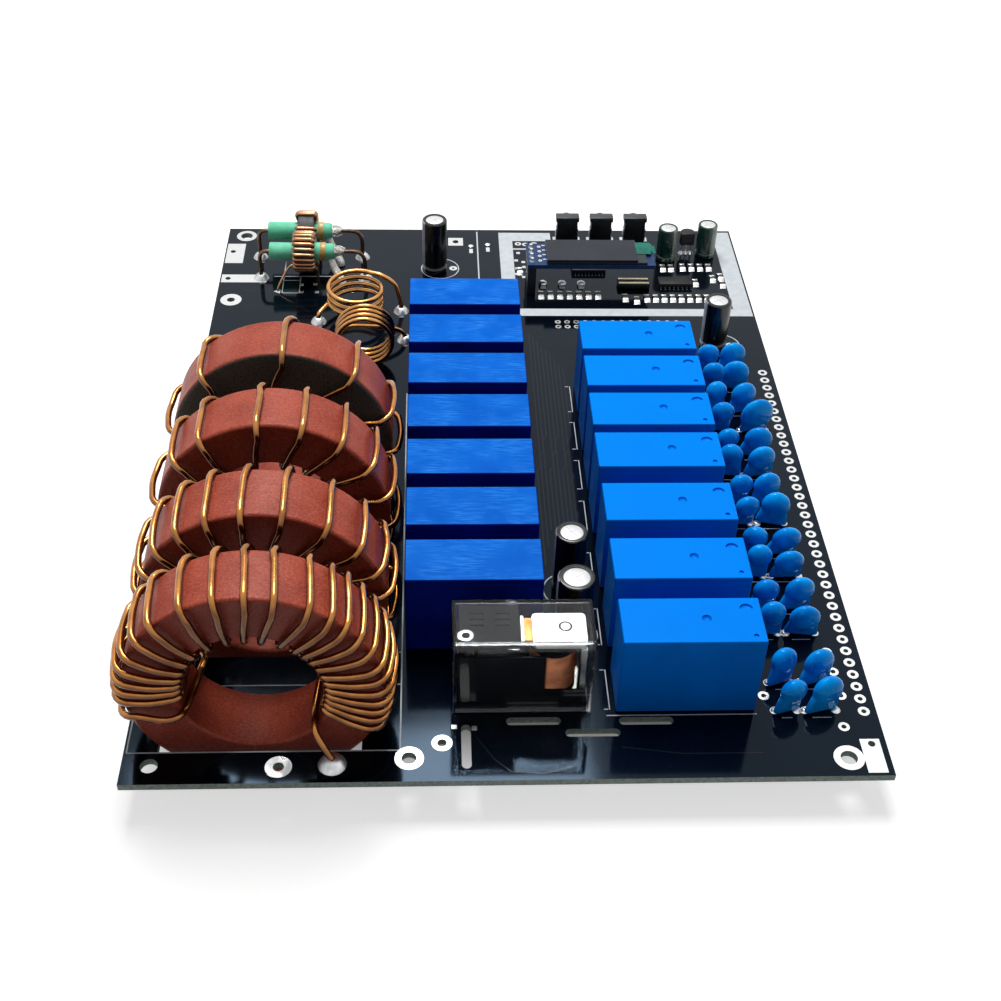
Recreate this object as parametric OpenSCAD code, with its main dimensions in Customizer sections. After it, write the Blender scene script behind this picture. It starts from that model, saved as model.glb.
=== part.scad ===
// Automatic antenna tuner: a populated circuit board with four toroid inductors,
// two columns of switching relays, one antenna relay in a clear cover, a bank of
// disc capacitors, a coaxial coupler, a small display and three push switches.
// Places on the board are measured from its left front corner, heights from its top face.
// The origin is the centre of the mounting holes, on the underside of the board.

/* [Board] */
// Depth of the board, front to back
board_l = 213; // [205:1:240]
// Thickness of the board
board_t = 1.6; // [1.2:0.1:3]
// Free strip between the outer disc capacitors and the right edge
right_strip = 8.4; // [6:0.1:20]
// Clearance round each lead in its hole
lead_clear = 0.15; // [0.05:0.05:0.3]
// Height of a solder joint under the board
joint_h = 1.1; // [0.6:0.1:1.6]
// Width of the milled slots
milled_w = 2; // [1:0.1:2.4]
// Length of the milled slots
milled_l = 11.3; // [6:0.1:12]

/* [Mounting holes] */
// Diameter of the mounting holes
mount_d = 3.5; // [3:0.1:4.5]
// Left holes from the left edge
mount_left = 5.5; // [4:0.1:8]
// Right holes from the right edge
mount_right = 8.5; // [5:0.1:10]
// Front holes from the front edge
mount_front = 4.6; // [3.5:0.1:5]
// Rear holes from the rear edge
mount_back = 4.4; // [3.5:0.1:5]

/* [Toroid inductors] */
// Outer diameter of the cores
core_od = 50.8; // [46:0.2:56]
// Inner diameter of the cores
core_id = 30; // [27:0.2:32]
// Thickness of the cores
core_h = 13.6; // [11:0.1:15]
// Radius of the core edges
core_edge = 0.8; // [0.4:0.1:1.2]
// Depth of the core's rim below the board's top face
core_sink = 9; // [6:0.1:9.5]
// Gap from the left edge of the board to the cores
core_left = 1.6; // [0:0.1:6]
// Front face of the first core from the front edge
core_front = 8.8; // [8:0.1:12]
// Distance between the cores
core_pitch = 25.8; // [24:0.1:28]
// Lean of the second core towards the front, in degrees
core_lean = 3; // [0:0.1:3]
// Gap between a core and the ends of its slot
slot_end = 0.9; // [0.3:0.1:1.5]
// Gap between a core and the sides of its slot
slot_side = 0.9; // [0.7:0.1:1.5]
// Diameter of the winding wire
wire_d = 1.4; // [1:0.1:1.6]
// Gap between the wire and the core
wire_gap = 0.25; // [0.2:0.05:0.5]
// Slack of the loops at the right side of the core
wire_slack = 1.2; // [0:0.1:2]
// Slack of the loops at the left side of the core
wire_slack_left = 1.1; // [0:0.1:3]
// Turns on the first, second, third and fourth core
core_turns = [24, 16, 11, 7];

/* [Relays] */
// Length of a relay
relay_l = 29; // [28:0.1:32]
// Width of a relay
relay_w = 12.7; // [12.3:0.1:13.5]
// Height of a relay
relay_h = 20.6; // [19:0.1:26]
// Wall of a relay cover
cover_wall = 0.9; // [0.6:0.1:1.1]
// Fit between the cover and what it holds
cover_clear = 0.1; // [0.05:0.05:0.2]
// Thickness of a relay base
base_t = 2.2; // [1.5:0.1:3]
// Height of the relay above the board
foot_h = 0.3; // [0.2:0.1:0.6]
// Swing of a relay armature, in degrees
arm_swing = 2.6; // [1:0.1:2.8]
// Gap between the windings of the cores and the left relays
relay_gap = 0.55; // [0.4:0.05:3]
// Gap between the two columns of relays
column_gap = 14.6; // [12:0.1:20]
// Centre of the first left relay from the front edge
left_front = 41.9; // [40:0.1:46]
// Distance between the left relays
left_pitch = 17.3; // [14.5:0.1:19]
// Centre of the first right relay from the front edge
right_front = 23.6; // [18:0.1:30]
// Distance between the first four right relays
right_pitch = 18.4; // [14.5:0.1:19]
// Distance between the last four right relays
right_pitch_back = 15.6; // [14.2:0.1:18]
// Centre of the antenna relay from the front edge
antenna_front = 23.7; // [22.8:0.1:24.5]
// Offset of the antenna relay to the right of the left column
antenna_shift = 9.5; // [6:0.1:9.8]

/* [Capacitors] */
// Diameter of an inner disc capacitor
disc_d = 5.8; // [5:0.1:6.4]
// Diameter of an outer disc capacitor
outer_disc_d = 6.8; // [5.6:0.1:7.2]
// Diameter of the largest disc capacitor
big_disc_d = 9; // [7:0.1:10]
// Thickness of a disc capacitor
disc_t = 3.4; // [2:0.1:4.4]
// Height of the disc capacitors above the board
disc_top = 8.7; // [8:0.1:12]
// Spacing of an inner disc capacitor's leads
disc_leads = 4.6; // [3:0.1:5]
// Spacing of an outer disc capacitor's leads
outer_leads = 6.4; // [4:0.1:6.6]
// Gap between the right relays and the inner disc capacitors
disc_gap = 3.6; // [1:0.1:6]
// Distance between the two columns of disc capacitors
disc_column = 7.3; // [7:0.1:10]
// Middle of the first pair from the front edge
disc_front = 21.1; // [16:0.1:24]
// Middle of the second pair from the front edge
disc_second = 43.4; // [38:0.1:46]
// Distance between the further pairs
disc_pitch = 18.2; // [15:0.1:18.4]
// Distance between the two of a pair
disc_pair = 7.8; // [5:0.1:9]
// Diameter of a power capacitor can
can_d = 7.2; // [6:0.1:8.4]
// Height of a power capacitor can
can_h = 17; // [12:0.1:20]
// Diameter of the largest power capacitor can
big_can_d = 8.2; // [7:0.1:9.4]
// Diameter of a logic capacitor can
logic_can_d = 5.8; // [5:0.1:6.3]
// Height of a logic capacitor can
logic_can_h = 10.7; // [8:0.1:13]
// Diameter of a capacitor lead
lead_d = 0.6; // [0.5:0.05:0.8]

/* [Coils and coupler] */
// Diameter of the air coil wire
coil_wire = 1.3; // [1:0.1:1.5]
// Mean diameter of the air coils
coil_d = 14.8; // [12:0.1:16]
// Distance between the turns of an air coil
coil_pitch = 2.1; // [2:0.1:2.6]
// Diameter of the coupler sleeves
sleeve_d = 5.2; // [4.6:0.1:5.3]
// Length of the coupler sleeves
sleeve_l = 18.6; // [14:0.1:20]
// Height of the coupler sleeves above the board
sleeve_lift = 9; // [7.5:0.1:12]
// Distance between the two coupler sleeves
sleeve_gap = 11.7; // [11.6:0.1:14]
// Outer diameter of the coupler cores
ring_od = 9.8; // [9.6:0.1:9.9]
// Inner diameter of the coupler cores
ring_id = 7.2; // [7.1:0.1:7.6]
// Width of the coupler cores
ring_w = 4.6; // [3:0.1:6]
// Diameter of the wire on the coupler cores
ring_wire = 0.7; // [0.5:0.05:0.75]
// Turns on a coupler core
ring_turns = 7; // [5:1:10]
// Diameter of the coupler conductors
conductor_d = 1.2; // [0.8:0.1:1.6]

/* [Display and switches] */
// Length of the display board
display_l = 36.8; // [34:0.1:40]
// Depth of the display board
display_w = 12; // [11.5:0.1:14]
// Height of the display board's top face
display_z = 10.2; // [8:0.1:13]
// Thickness of the display board
display_t = 1.2; // [0.8:0.1:1.6]
// Thickness of the display glass
glass_t = 1.5; // [1:0.1:2]
// Width of a switch body
switch_w = 6.2; // [5:0.1:8]
// Depth of a switch body
switch_t = 3.2; // [2.8:0.1:4]
// Height of a switch body
switch_h = 8.5; // [7:0.1:12]
// Distance between the switches
switch_pitch = 10.3; // [9:0.1:12]
// Diameter of a switch plunger
plunger_d = 3.4; // [2.5:0.1:4]
// Length of a plunger that stands out of the switch
plunger_out = 3.4; // [2:0.1:5]
// Travel of a switch plunger
plunger_travel = 0.25; // [0.1:0.05:0.5]
// Radial clearance of a plunger in its bore
plunger_clear = 0.05; // [0.02:0.01:0.1]

/* [Hidden] */
$fn = 48;
core_count = len(core_turns);
relay_count = 7;
column_ids = [for (i = [1:relay_count]) i];
// Overshoot of a cutting shape past the face that it cuts
cut = 0.5;

// Places of the toroids
core_r = core_od / 2;
core_x = core_left + core_r;
core_z = core_r - core_sink;
core_leans = [for (i = [0:core_count - 1]) i == 1 ? core_lean : 0];
function core_y(i) = core_front + core_h / 2 + i * core_pitch;
// Length of the slot: the chord of the rim at the board's top face, and a gap at each end
slot_l = 2 * sqrt(core_r * core_r - core_z * core_z) + 2 * slot_end;
slot_w = core_h + 2 * slot_side;

// Reach of a winding past the rim of its core
winding_reach = wire_gap + wire_d + wire_slack;

// Places of the relays
left_x = core_x + core_r + winding_reach + relay_gap + relay_l / 2;
right_x = left_x + relay_l + column_gap;
mid_x = (left_x + right_x) / 2;
left_relays = [for (i = [0:relay_count - 1]) [left_x, left_front + i * left_pitch]];
right_relays = [for (i = [0:relay_count - 1])
    [right_x, right_front + min(i, 3) * right_pitch + max(i - 3, 0) * right_pitch_back]];
antenna_relay = [left_x + antenna_shift, antenna_front];
all_relays = concat(left_relays, right_relays, [antenna_relay]);

// Places of the disc capacitors
disc_x = right_x + relay_l / 2 + disc_gap + disc_d / 2;
disc_pairs = [for (i = [0:relay_count - 1]) i == 0 ? disc_front : disc_second + (i - 1) * disc_pitch];
// Each disc: x, y, diameter and lead spacing; one of the outer column is larger
big_pair = 5;
big_shift = 2;
discs = [
    for (c = [0, 1], i = [0:relay_count - 1], s = [-1, 1])
        let (big = c == 1 && i == big_pair && s == -1)
            [disc_x + c * disc_column + (big ? big_shift : 0), disc_pairs[i] + s * disc_pair / 2,
             big ? big_disc_d : c == 0 ? disc_d : outer_disc_d, c == 0 ? disc_leads : outer_leads]
];
board_w = disc_x + disc_column + outer_disc_d / 2 + right_strip;

// Places of the mounting holes and of the origin
mount_x = board_w - mount_left - mount_right;
mount_y = board_l - mount_front - mount_back;
origin_x = mount_left + mount_x / 2;
origin_y = mount_front + mount_y / 2;
mounts = [for (x = [0, mount_x], y = [0, mount_y]) [mount_left + x, mount_front + y]];

// Places of the capacitor cans: x, y, diameter and height
can_drop = 1.8;
front_can_y = 40.2;
second_can_y = 54.4;
rear_can_in = 7.8;
rear_can_back = 23.5;
side_can_in = 4.5;
// The can on the right stands in the free strip between the discs and the right row of small parts
smd_size = [1.3, 2.1, 0.7];
right_row_back = 38.6;
side_can_share = 0.2524;
strip_front = disc_pairs[relay_count - 1] + disc_pair / 2 + disc_t / 2;
strip_l = board_l - right_row_back - smd_size.y / 2 - strip_front - can_d;
side_can_y = strip_front + can_d / 2 + side_can_share * strip_l;
power_cans = [
    [mid_x, second_can_y, can_d, can_h],
    [mid_x, front_can_y, big_can_d, can_h],
    [left_x - rear_can_in, board_l - rear_can_back, can_d, can_h],
    [disc_x + side_can_in, side_can_y, can_d, can_h - can_drop]
];
logic_can_in = 22;
logic_can_back = 16.6;
logic_can_pitch = 12.2;
logic_can_step = 2.2;
logic_cans = [
    [board_w - logic_can_in, board_l - logic_can_back, logic_can_d, logic_can_h],
    [board_w - logic_can_in + logic_can_pitch, board_l - logic_can_back + logic_can_step,
     logic_can_d, logic_can_h]
];
// The display, the switches, the chips and the small parts keep to the right edge
logic_in = 61.9;
logic_x = board_w - logic_in;
can_lead_pitch = 3.2;
logic_lead_pitch = 2.4;

// Leads of the toroids: the pads before and behind each core
lead_across = 14.6;
lead_ahead = 4.3;
function front_pad(i) = [core_x + lead_across, core_y(i) - core_h / 2 - lead_ahead];
function back_pad(i) = [core_x - lead_across, core_y(i) + core_h / 2 + lead_ahead];
core_pads = [for (i = [0:core_count - 1], p = [front_pad(i), back_pad(i)]) p];

// Places of the air coils, and of the pads of their leads
coil_rear_in = 13.3;
coil_rear_back = 48;
coil_front_in = 16.7;
coil_front_back = 75.5;
coil_rear = [core_x + coil_rear_in, board_l - coil_rear_back];
coil_front = [core_x + coil_front_in, board_l - coil_front_back];
coil_lift = 1.2;
rear_turns = 3.25;
front_turns = 4;
coil_rear_pads = [coil_rear + coil_d * [0.851, 0.162], coil_rear + coil_d * [-0.703, -0.203]];
coil_front_pads = [coil_front + coil_d * [0.703, 1.047], coil_front + coil_d * [-0.716, -0.27]];
coil_pads = concat(coil_rear_pads, coil_front_pads);

// Places of the two coupler stubs: the left end of each sleeve
stub_x = 13.8;
stub_rear_y = board_l - 16.5;
stubs = [[stub_x, stub_rear_y], [stub_x + 1.2, stub_rear_y - sleeve_gap]];
stub_lead = 3;
braid_l = 5;
stub_right = sleeve_l + braid_l + 3.6;
stub_pads = [for (s = stubs, x = [-stub_lead, stub_right]) s + [x, 0]];
ring_x = stub_x + 11.2;
ring_gap = 0.1;
ring_in = ring_id / 2 - ring_gap - ring_wire / 2;
ring_out = ring_od / 2 + ring_gap + ring_wire / 2;
ring_half = ring_w / 2 + ring_gap + ring_wire / 2;
ring_lead_x = ring_x + ring_half + ring_wire;
tail_d = 1.8;
tail_x = 2.4;
tail_y = 4.6;

// Inside of a relay, measured from its centre
inner_x = relay_l / 2 - cover_wall;
inner_z = relay_h - cover_wall;
base_top = foot_h + base_t;
plate_t = 1.2;
yoke_out = inner_x - 0.8;
yoke_in = yoke_out - plate_t;
yoke_w = relay_w - 2 * cover_wall - 1.9;
hinge_x = yoke_out - 0.2;
hinge_gap = 0.08;
arm_z = inner_z - 2.7;
flange_r = yoke_w / 2 + 0.4;
flange_t = 0.8;
coil_x = yoke_in - 0.4 - flange_r;
pole_r = 2.9;
iron_r = 2.2;
tube_r = 3;
iron_gap = 0.1;
copper_gap = 0.05;
pole_z = arm_z - (hinge_x - coil_x + pole_r) * sin(arm_swing) - 0.07;
flange_z = pole_z - 0.7;
contact_r = 1.3;
contact_x = 4.1 - inner_x;
contact_gap = 0.1;
leaf_w = 4;
leaf_t = 0.3;
leaf_end = contact_x - contact_r - 0.1;
open_z = arm_z - contact_gap - (hinge_x - contact_x + contact_r) * sin(arm_swing) - 0.12;
strip_t = 0.5;
strip_w = 3;
strip_x = 1 - inner_x;
coil_pin_x = coil_x - flange_r - 2.4;
coil_pin_y = yoke_w / 2 - 0.7;
pin_w = 0.8;
yoke_pin_x = yoke_in + plate_t / 2;
open_pin_x = contact_x;
closed_pin_x = strip_x + pin_w / 2;
relay_pins = [
    [open_pin_x, 0], [closed_pin_x, 0], [yoke_pin_x, 0], [coil_pin_x, coil_pin_y], [coil_pin_x, -coil_pin_y]
];
pin_hole = pin_w * sqrt(2) + 2 * lead_clear;

// Places of the display, its header pins and the switches
display_left = 3.1;
display_back = 37.2;
display_at = [logic_x - display_left, board_l - display_back];
header_pitch = 2.54;
header_pins = 4;
header_in = 1.4;
header_w = 2.4;
header_pin = 0.64;
header_places = [for (i = [0:header_pins - 1])
    display_at + [header_in, display_w / 2 + (i - (header_pins - 1) / 2) * header_pitch]];
switch_back = 7.4;
switch_in = 10.7;
switch_front = board_l - switch_back;
switch_places = [for (i = [0:2]) [logic_x + switch_in + i * switch_pitch, switch_front]];
switch_leg = 0.7;
switch_lip = 0.4;
switch_lip_h = 1.6;
switch_legs = [for (p = switch_places, s = [-1, 1]) p + [s * (switch_w / 2 - 1), switch_t / 2]];
plunger_z = switch_h * 0.62;
plunger_seat = 1.6;
plunger_rim = 0.3;

// Place of the transistor and the pitch of its legs
transistor_at = [board_w - 15.4, board_l - 13.2];
transistor_d = 4.5;
transistor_flat = 1.3;
transistor_lift = 3.4;
transistor_h = 3.9;
transistor_pitch = 1.4;
transistor_leg = 0.45;
transistor_legs = [for (s = [-1, 0, 1]) transistor_at + [s * transistor_pitch, 0]];

// Free terminal holes: place and width of each
terminals = [
    [core_x + 29.8, 5.8, 3], [core_x + 36.4, 9.6, 1.9], [core_x + 4, 4, 2.2], [4.3, board_l - 39.9, 2.2],
    [2.3, board_l - 13.5, 1.5], [2.3, board_l - 28.5, 1.5], [board_w - 3.1, 8.1, 1.5],
    [left_x - 1.4, board_l - 7.2, 1.8]
];
// Spare pads in front of the capacitors, and the row of stitched holes along the right edge
spares = [
    [board_w - 7, 33.8], [board_w - 6.8, 28], [board_w - 6.6, 21.2], [board_w - 7.8, 12.7], [board_w - 23, 21.4]
];
stitch_d = 1.1;
stitch_n = 36;
stitch_x = board_w - 2.7;
stitch_front = 16.8;
stitch_pitch = 3.45;
stitches = [for (i = [0:stitch_n - 1]) [stitch_x, stitch_front + i * stitch_pitch]];
// Milled slots: middle of each, and its turn
milled = [
    [antenna_relay.x + 2.4, 15.1, 0], [antenna_relay.x + 14.4, 11.9, 0],
    [antenna_relay.x + 25.7, 14.9, 0], [antenna_relay.x - 11.5, 8.7, 90]
];

module on_board() {
    translate([-origin_x, -origin_y, board_t]) children();
}

module at(p, z = 0) {
    translate([p.x, p.y, z]) children();
}

// Tube swept along a list of points, with a ring of sides at each point
function unit(v) = v / norm(v);
function along(p, i) = unit(p[min(i + 1, len(p) - 1)] - p[max(i - 1, 0)]);
function across(n, t) = unit(n - (n * t) * t);
function rim_of(p, first) = [
    for (i = 0, n = across(first, along(p, 0)); i < len(p); i = i + 1, n = across(n, along(p, i))) n
];
module tube(p, d, sides = 6, first = [0.3, 0.5, 0.8]) {
    n = rim_of(p, first);
    last = len(p) - 1;
    rings = [
        for (i = [0:last], k = [0:sides - 1])
            let (t = along(p, i), a = 360 * k / sides)
                p[i] + d / 2 * (cos(a) * n[i] + sin(a) * cross(t, n[i]))
    ];
    walls = [
        for (i = [0:last - 1], k = [0:sides - 1])
            let (a = i * sides + k, b = i * sides + (k + 1) % sides)
                each [[a, a + sides, b + sides], [a, b + sides, b]]
    ];
    caps = [
        for (k = [1:sides - 2])
            each [[0, k, k + 1], [last * sides, last * sides + k + 1, last * sides + k]]
    ];
    polyhedron(rings, concat(walls, caps), convexity = 20);
}

// Least gap of a tube to itself, between points more than half a turn apart
function least_gap(p, d, skip) =
    min([for (i = [0:len(p) - 1]) for (j = [i + skip:1:len(p) - 1]) norm(p[i] - p[j])]) - d;

// A straight round rod between two points
module rod(a, b, d) {
    v = b - a;
    translate(a)
        rotate([0, acos(v.z / norm(v)), atan2(v.y, v.x)])
            cylinder(d = d, h = norm(v));
}

// One turn round a ring of rectangular section: radius, place along the axis
function turn_section(inner, outer, half, bend, slack) = [
    [inner, half - bend], [inner, bend - half],
    [inner + bend, -half], [outer - bend - slack, -half],
    [outer, bend + slack - half], [outer, half - bend - slack],
    [outer - bend - slack, half], [inner + bend, half]
];

// Toroid winding: spread of the turns over the free part of the core
wire_in = core_id / 2 - wire_gap - wire_d / 2;
wire_out = core_r + wire_gap + wire_d / 2;
wire_half = core_h / 2 + wire_gap + wire_d / 2;
wire_bend = 1;
// Lowest place of a loop: just above the board on the right, and higher on the left
winding_low = asin((wire_d - core_z) / (wire_out + wire_slack)) + 4;
winding_first = 172 - winding_low;
// Share by which the turns crowd at the sides of the core
crowding = 0.15;
function spread(s) = s - crowding * sin(360 * s) / (2 * PI);
function winding_angle(s) = winding_first + (winding_low - winding_first) * spread(s);
function slack(a) = (cos(a) < 0 ? wire_slack_left : wire_slack) * pow(cos(a), 2);
function lean_point(p, i) =
    let (a = core_leans[i], z = p.z + core_z)
        [core_x + p.x, core_y(i) + p.y * cos(a) - z * sin(a), p.y * sin(a) + z * cos(a)];
function winding_points(i) = [
    let (turns = core_turns[i])
        for (k = [0:8 * turns + 1])
            let (
                a = winding_angle(k / (8 * turns + 1)),
                q = turn_section(wire_in, wire_out + slack(a), wire_half, wire_bend, slack(a))[k % 8]
            )
                lean_point([q[0] * cos(a), q[1], q[0] * sin(a)], i)
];
// A lead drops from the mouth of the core to its pad, and ends square to the board
function lead_points(from, pad, out) = [
    from + [0.1 * (pad.x - from.x), out * 1.5, -0.5],
    [pad.x - 0.35 * (pad.x - from.x), pad.y - out * 1.6, from.z * 0.62],
    [pad.x, pad.y, 2.6],
    [pad.x, pad.y, 1.3],
    [pad.x, pad.y, -board_t]
];
function reversed(p) = [for (i = [len(p) - 1:-1:0]) p[i]];
function winding_path(i) =
    let (p = winding_points(i))
        concat(
            reversed(lead_points(p[0], back_pad(i), 1)),
            p,
            lead_points(p[len(p) - 1], front_pad(i), -1)
        );

// Air coils: helix points, then the leads to the pads
coil_r = coil_d / 2;
coil_rings = 12;
rear_rise = 2.4;
rear_low = coil_lift + rear_rise;
rear_last = 55;
function rear_points() = [
    for (k = [0:rear_turns * coil_rings])
        let (a = rear_last + 360 * (rear_turns - k / coil_rings))
            [coil_rear.x + coil_r * cos(a), coil_rear.y + coil_r * sin(a),
             rear_low + coil_pitch * k / coil_rings]
];
function rear_path() =
    let (p = rear_points(), top = p[len(p) - 1], w = coil_wire, a = coil_rear_pads[1], b = coil_rear_pads[0])
        concat(
            [[a.x, a.y, -board_t], [a.x, a.y, w], [a.x + 0.5 * w, a.y + 0.9 * w, rear_low - 0.7 * w]],
            p,
            [[top.x + 2.3 * w, top.y - 0.8 * w, top.z - 0.2 * w],
             [b.x - 1.2 * w, b.y + 1.1 * w, top.z - 2 * w],
             [b.x, b.y, 2 * w], [b.x, b.y, w], [b.x, b.y, -board_t]]
        );
front_z = coil_lift + coil_wire / 2 + coil_r;
function front_points() = [
    for (k = [0:front_turns * coil_rings])
        let (a = 200 - 360 * k / coil_rings)
            [coil_front.x + coil_r * cos(a), coil_front.y + coil_pitch * k / coil_rings,
             front_z + coil_r * sin(a)]
];
function front_path() =
    let (
        p = front_points(), end = p[len(p) - 1], w = coil_wire,
        a = coil_front_pads[1], b = coil_front_pads[0]
    )
        concat(
            [[a.x, a.y, -board_t], [a.x, a.y, 1.2 * w], [a.x + 0.7 * w, a.y + 1.2 * w, 3.2 * w]],
            p,
            [[end.x + 2.3 * w, end.y + 2 * w, end.z + 0.6 * w],
             [b.x - 2.3 * w, b.y - 0.9 * w, 3.5 * w],
             [b.x, b.y, 1.2 * w], [b.x, b.y, -board_t]]
        );

// Coupler windings, on rings whose axis runs across the board
ring_bend = 0.45;
// The gap in the winding is at the bottom, where its two leads drop to the board
ring_start = 290;
ring_span = 320;
function ring_points(s) = [
    let (steps = 8 * ring_turns)
        for (k = [0:steps])
            let (
                a = ring_start + ring_span * k / steps,
                q = turn_section(ring_in, ring_out, ring_half, ring_bend, 0)[k % 8]
            )
                [ring_x + q[1], stubs[s].y + q[0] * cos(a), sleeve_lift + q[0] * sin(a)]
];
function ring_lead(p) = [
    [ring_lead_x - 0.2, p.y, p.z - 0.3], [ring_lead_x, p.y, p.z - 1.2], [ring_lead_x, p.y, -board_t]
];
function ring_path(s) =
    let (p = ring_points(s)) concat(reversed(ring_lead(p[0])), p, ring_lead(p[len(p) - 1]));
function conductor_path(s) =
    let (a = stub_pads[2 * s], b = stub_pads[2 * s + 1], z = sleeve_lift, r = 2)
        [
            [a.x, a.y, -board_t], [a.x, a.y, z - r], [a.x + 0.3 * r, a.y, z - 0.3 * r], [a.x + r, a.y, z],
            [b.x - 1.6 * r, b.y, z], [b.x - 0.5 * r, b.y, z - 0.4 * r],
            [b.x, b.y, z - 1.5 * r], [b.x, b.y, -board_t]
        ];

// Toroid core: a ring with rounded edges, leaning in its slot
module toroid_core(i) {
    color(i == core_count - 1 ? "sienna" : "brown")
        on_board()
            translate([core_x, core_y(i), 0])
                rotate([core_leans[i], 0, 0])
                    translate([0, 0, core_z])
                        rotate([90, 0, 0])
                            rotate_extrude()
                                core_section();
}

module core_section() {
    a = core_id / 2 + core_edge;
    b = core_r - core_edge;
    h = core_h / 2 - core_edge;
    union() {
        translate([a, -core_h / 2]) square([b - a, core_h]);
        translate([a - core_edge, -h]) square([b - a + 2 * core_edge, 2 * h]);
        for (x = [a, b], y = [-h, h]) translate([x, y]) circle(core_edge);
    }
}

module toroid_winding(i) {
    p = winding_path(i);
    echo(str("toroid_winding_", i + 1, " least gap"), least_gap(p, wire_d, 5));
    color("goldenrod") on_board() tube(p, wire_d);
}

module air_coil_rear() {
    p = rear_path();
    echo("air_coil_rear least gap", least_gap(p, coil_wire, 6));
    color("goldenrod") on_board() tube(p, coil_wire);
}

module air_coil_front() {
    p = front_path();
    echo("air_coil_front least gap", least_gap(p, coil_wire, 6));
    color("goldenrod") on_board() tube(p, coil_wire);
}

module coupler_winding(s) {
    p = ring_path(s);
    echo(str("coupler winding ", s, " least gap"), least_gap(p, ring_wire, 5));
    color("peru") on_board() tube(p, ring_wire);
}

module coupler_cores() {
    color("dimgray") on_board()
        for (s = stubs)
            translate([ring_x - ring_w / 2, s.y, sleeve_lift])
                rotate([0, 90, 0])
                    difference() {
                        cylinder(d = ring_od, h = ring_w);
                        translate([0, 0, -cut]) cylinder(d = ring_id, h = ring_w + 2 * cut);
                    }
}

bore_clear = 0.1;
module coupler_sleeves() {
    color("mediumseagreen") on_board()
        for (s = stubs)
            translate([s.x, s.y, sleeve_lift])
                rotate([0, 90, 0])
                    difference() {
                        cylinder(d = sleeve_d, h = sleeve_l);
                        translate([0, 0, -cut])
                            cylinder(d = conductor_d + 2 * bore_clear, h = sleeve_l + 2 * cut);
                    }
}

// Cut braid at the end of each sleeve, with a tail down to the board
module coupler_braids() {
    color("gainsboro") on_board()
        for (s = stubs)
            difference() {
                union() {
                    translate([s.x + sleeve_l, s.y, sleeve_lift])
                        rotate([0, 90, 0]) {
                            cylinder(d = sleeve_d * 0.88, h = braid_l * 0.36);
                            translate([0, 0, braid_l * 0.3])
                                cylinder(d1 = sleeve_d * 0.76, d2 = sleeve_d * 0.5, h = braid_l * 0.7);
                        }
                    rod([s.x + sleeve_l + 1.3, s.y, sleeve_lift - sleeve_d * 0.3],
                        [s.x + sleeve_l + tail_x, s.y - tail_y, 0.8], tail_d);
                    translate([s.x + sleeve_l + tail_x, s.y - tail_y, 0])
                        cylinder(d = tail_d + 0.8, h = fillet_h);
                }
                translate([s.x, s.y, sleeve_lift])
                    rotate([0, 90, 0])
                        cylinder(d = conductor_d + 2 * bore_clear, h = sleeve_l + braid_l + cut);
            }
}

module coupler_conductors() {
    color("saddlebrown") on_board()
        for (s = [0, 1]) tube(conductor_path(s), conductor_d, 8, [0, 1, 0]);
}

// Plain box centred across and standing on z
module block(x, y, z0, z1) {
    translate([-x / 2, -y / 2, z0]) cube([x, y, z1 - z0]);
}

// Relay cover: a shell open at the bottom
mark_deep = 0.2;
module relay_cover() {
    difference() {
        block(relay_l, relay_w, foot_h, relay_h);
        block(relay_l - 2 * cover_wall, relay_w - 2 * cover_wall, foot_h - cut, inner_z);
    }
}

// Moulding marks in the roof of a cover: two shallow dimples and a dot
module cover_marks() {
    difference() {
        children();
        translate([0, 0, relay_h - mark_deep]) {
            translate([3, 0.4, 0]) cylinder(r = 0.9, h = cut);
            translate([relay_l / 2 - 3, relay_w / 2 - 3, 0]) cylinder(r = 1.3, h = cut);
            translate([relay_l / 2 - 2.2, 1.8 - relay_w / 2, 0]) cylinder(r = 0.5, h = cut);
        }
    }
}

module inductor_relay_covers() {
    color("royalblue") on_board() for (p = left_relays) at(p) relay_cover();
}

module capacitor_relay_covers() {
    color("dodgerblue") on_board() for (p = right_relays) at(p) cover_marks() relay_cover();
}

module antenna_relay_cover() {
    color("lightsteelblue", 0.35) on_board() at(antenna_relay) relay_cover();
}

// Relay base: a plate inside the cover, on four feet, with a hole for each pin
foot_w = 1.6;
module relay_base() {
    l = relay_l - 2 * cover_wall - 2 * cover_clear;
    w = relay_w - 2 * cover_wall - 2 * cover_clear;
    difference() {
        union() {
            block(l, w, foot_h, base_top);
            for (x = [-1, 1], y = [-1, 1])
                translate([x * (l - foot_w) / 2, y * (w - foot_w) / 2, 0])
                    block(foot_w, foot_w, 0, foot_h + cut);
        }
        wide = pin_w + 2 * bore_clear;
        for (p = relay_pins) at(p) block(wide, wide, -cut, base_top + cut);
    }
}

module relay_bases() {
    color("dimgray") on_board() for (p = all_relays) at(p) relay_base();
}

module relay_bobbin() {
    low = base_top + plate_t;
    translate([coil_x, 0, 0])
        difference() {
            union() {
                translate([0, 0, low]) cylinder(r = flange_r, h = flange_t);
                translate([0, 0, low]) cylinder(r = tube_r, h = flange_z - low);
                translate([0, 0, flange_z - flange_t]) cylinder(r = flange_r, h = flange_t);
            }
            translate([0, 0, low - cut]) cylinder(r = iron_r + iron_gap, h = relay_h);
        }
}

module relay_bobbins() {
    color("black") on_board() for (p = all_relays) at(p) relay_bobbin();
}

module relay_winding() {
    low = base_top + plate_t + flange_t + copper_gap;
    high = flange_z - flange_t - copper_gap;
    translate([coil_x, 0, low])
        difference() {
            cylinder(r = flange_r - 0.3, h = high - low);
            translate([0, 0, -cut]) cylinder(r = tube_r + copper_gap, h = relay_h);
        }
}

module relay_windings() {
    color("chocolate") on_board() for (p = all_relays) at(p) relay_winding();
}

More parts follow.
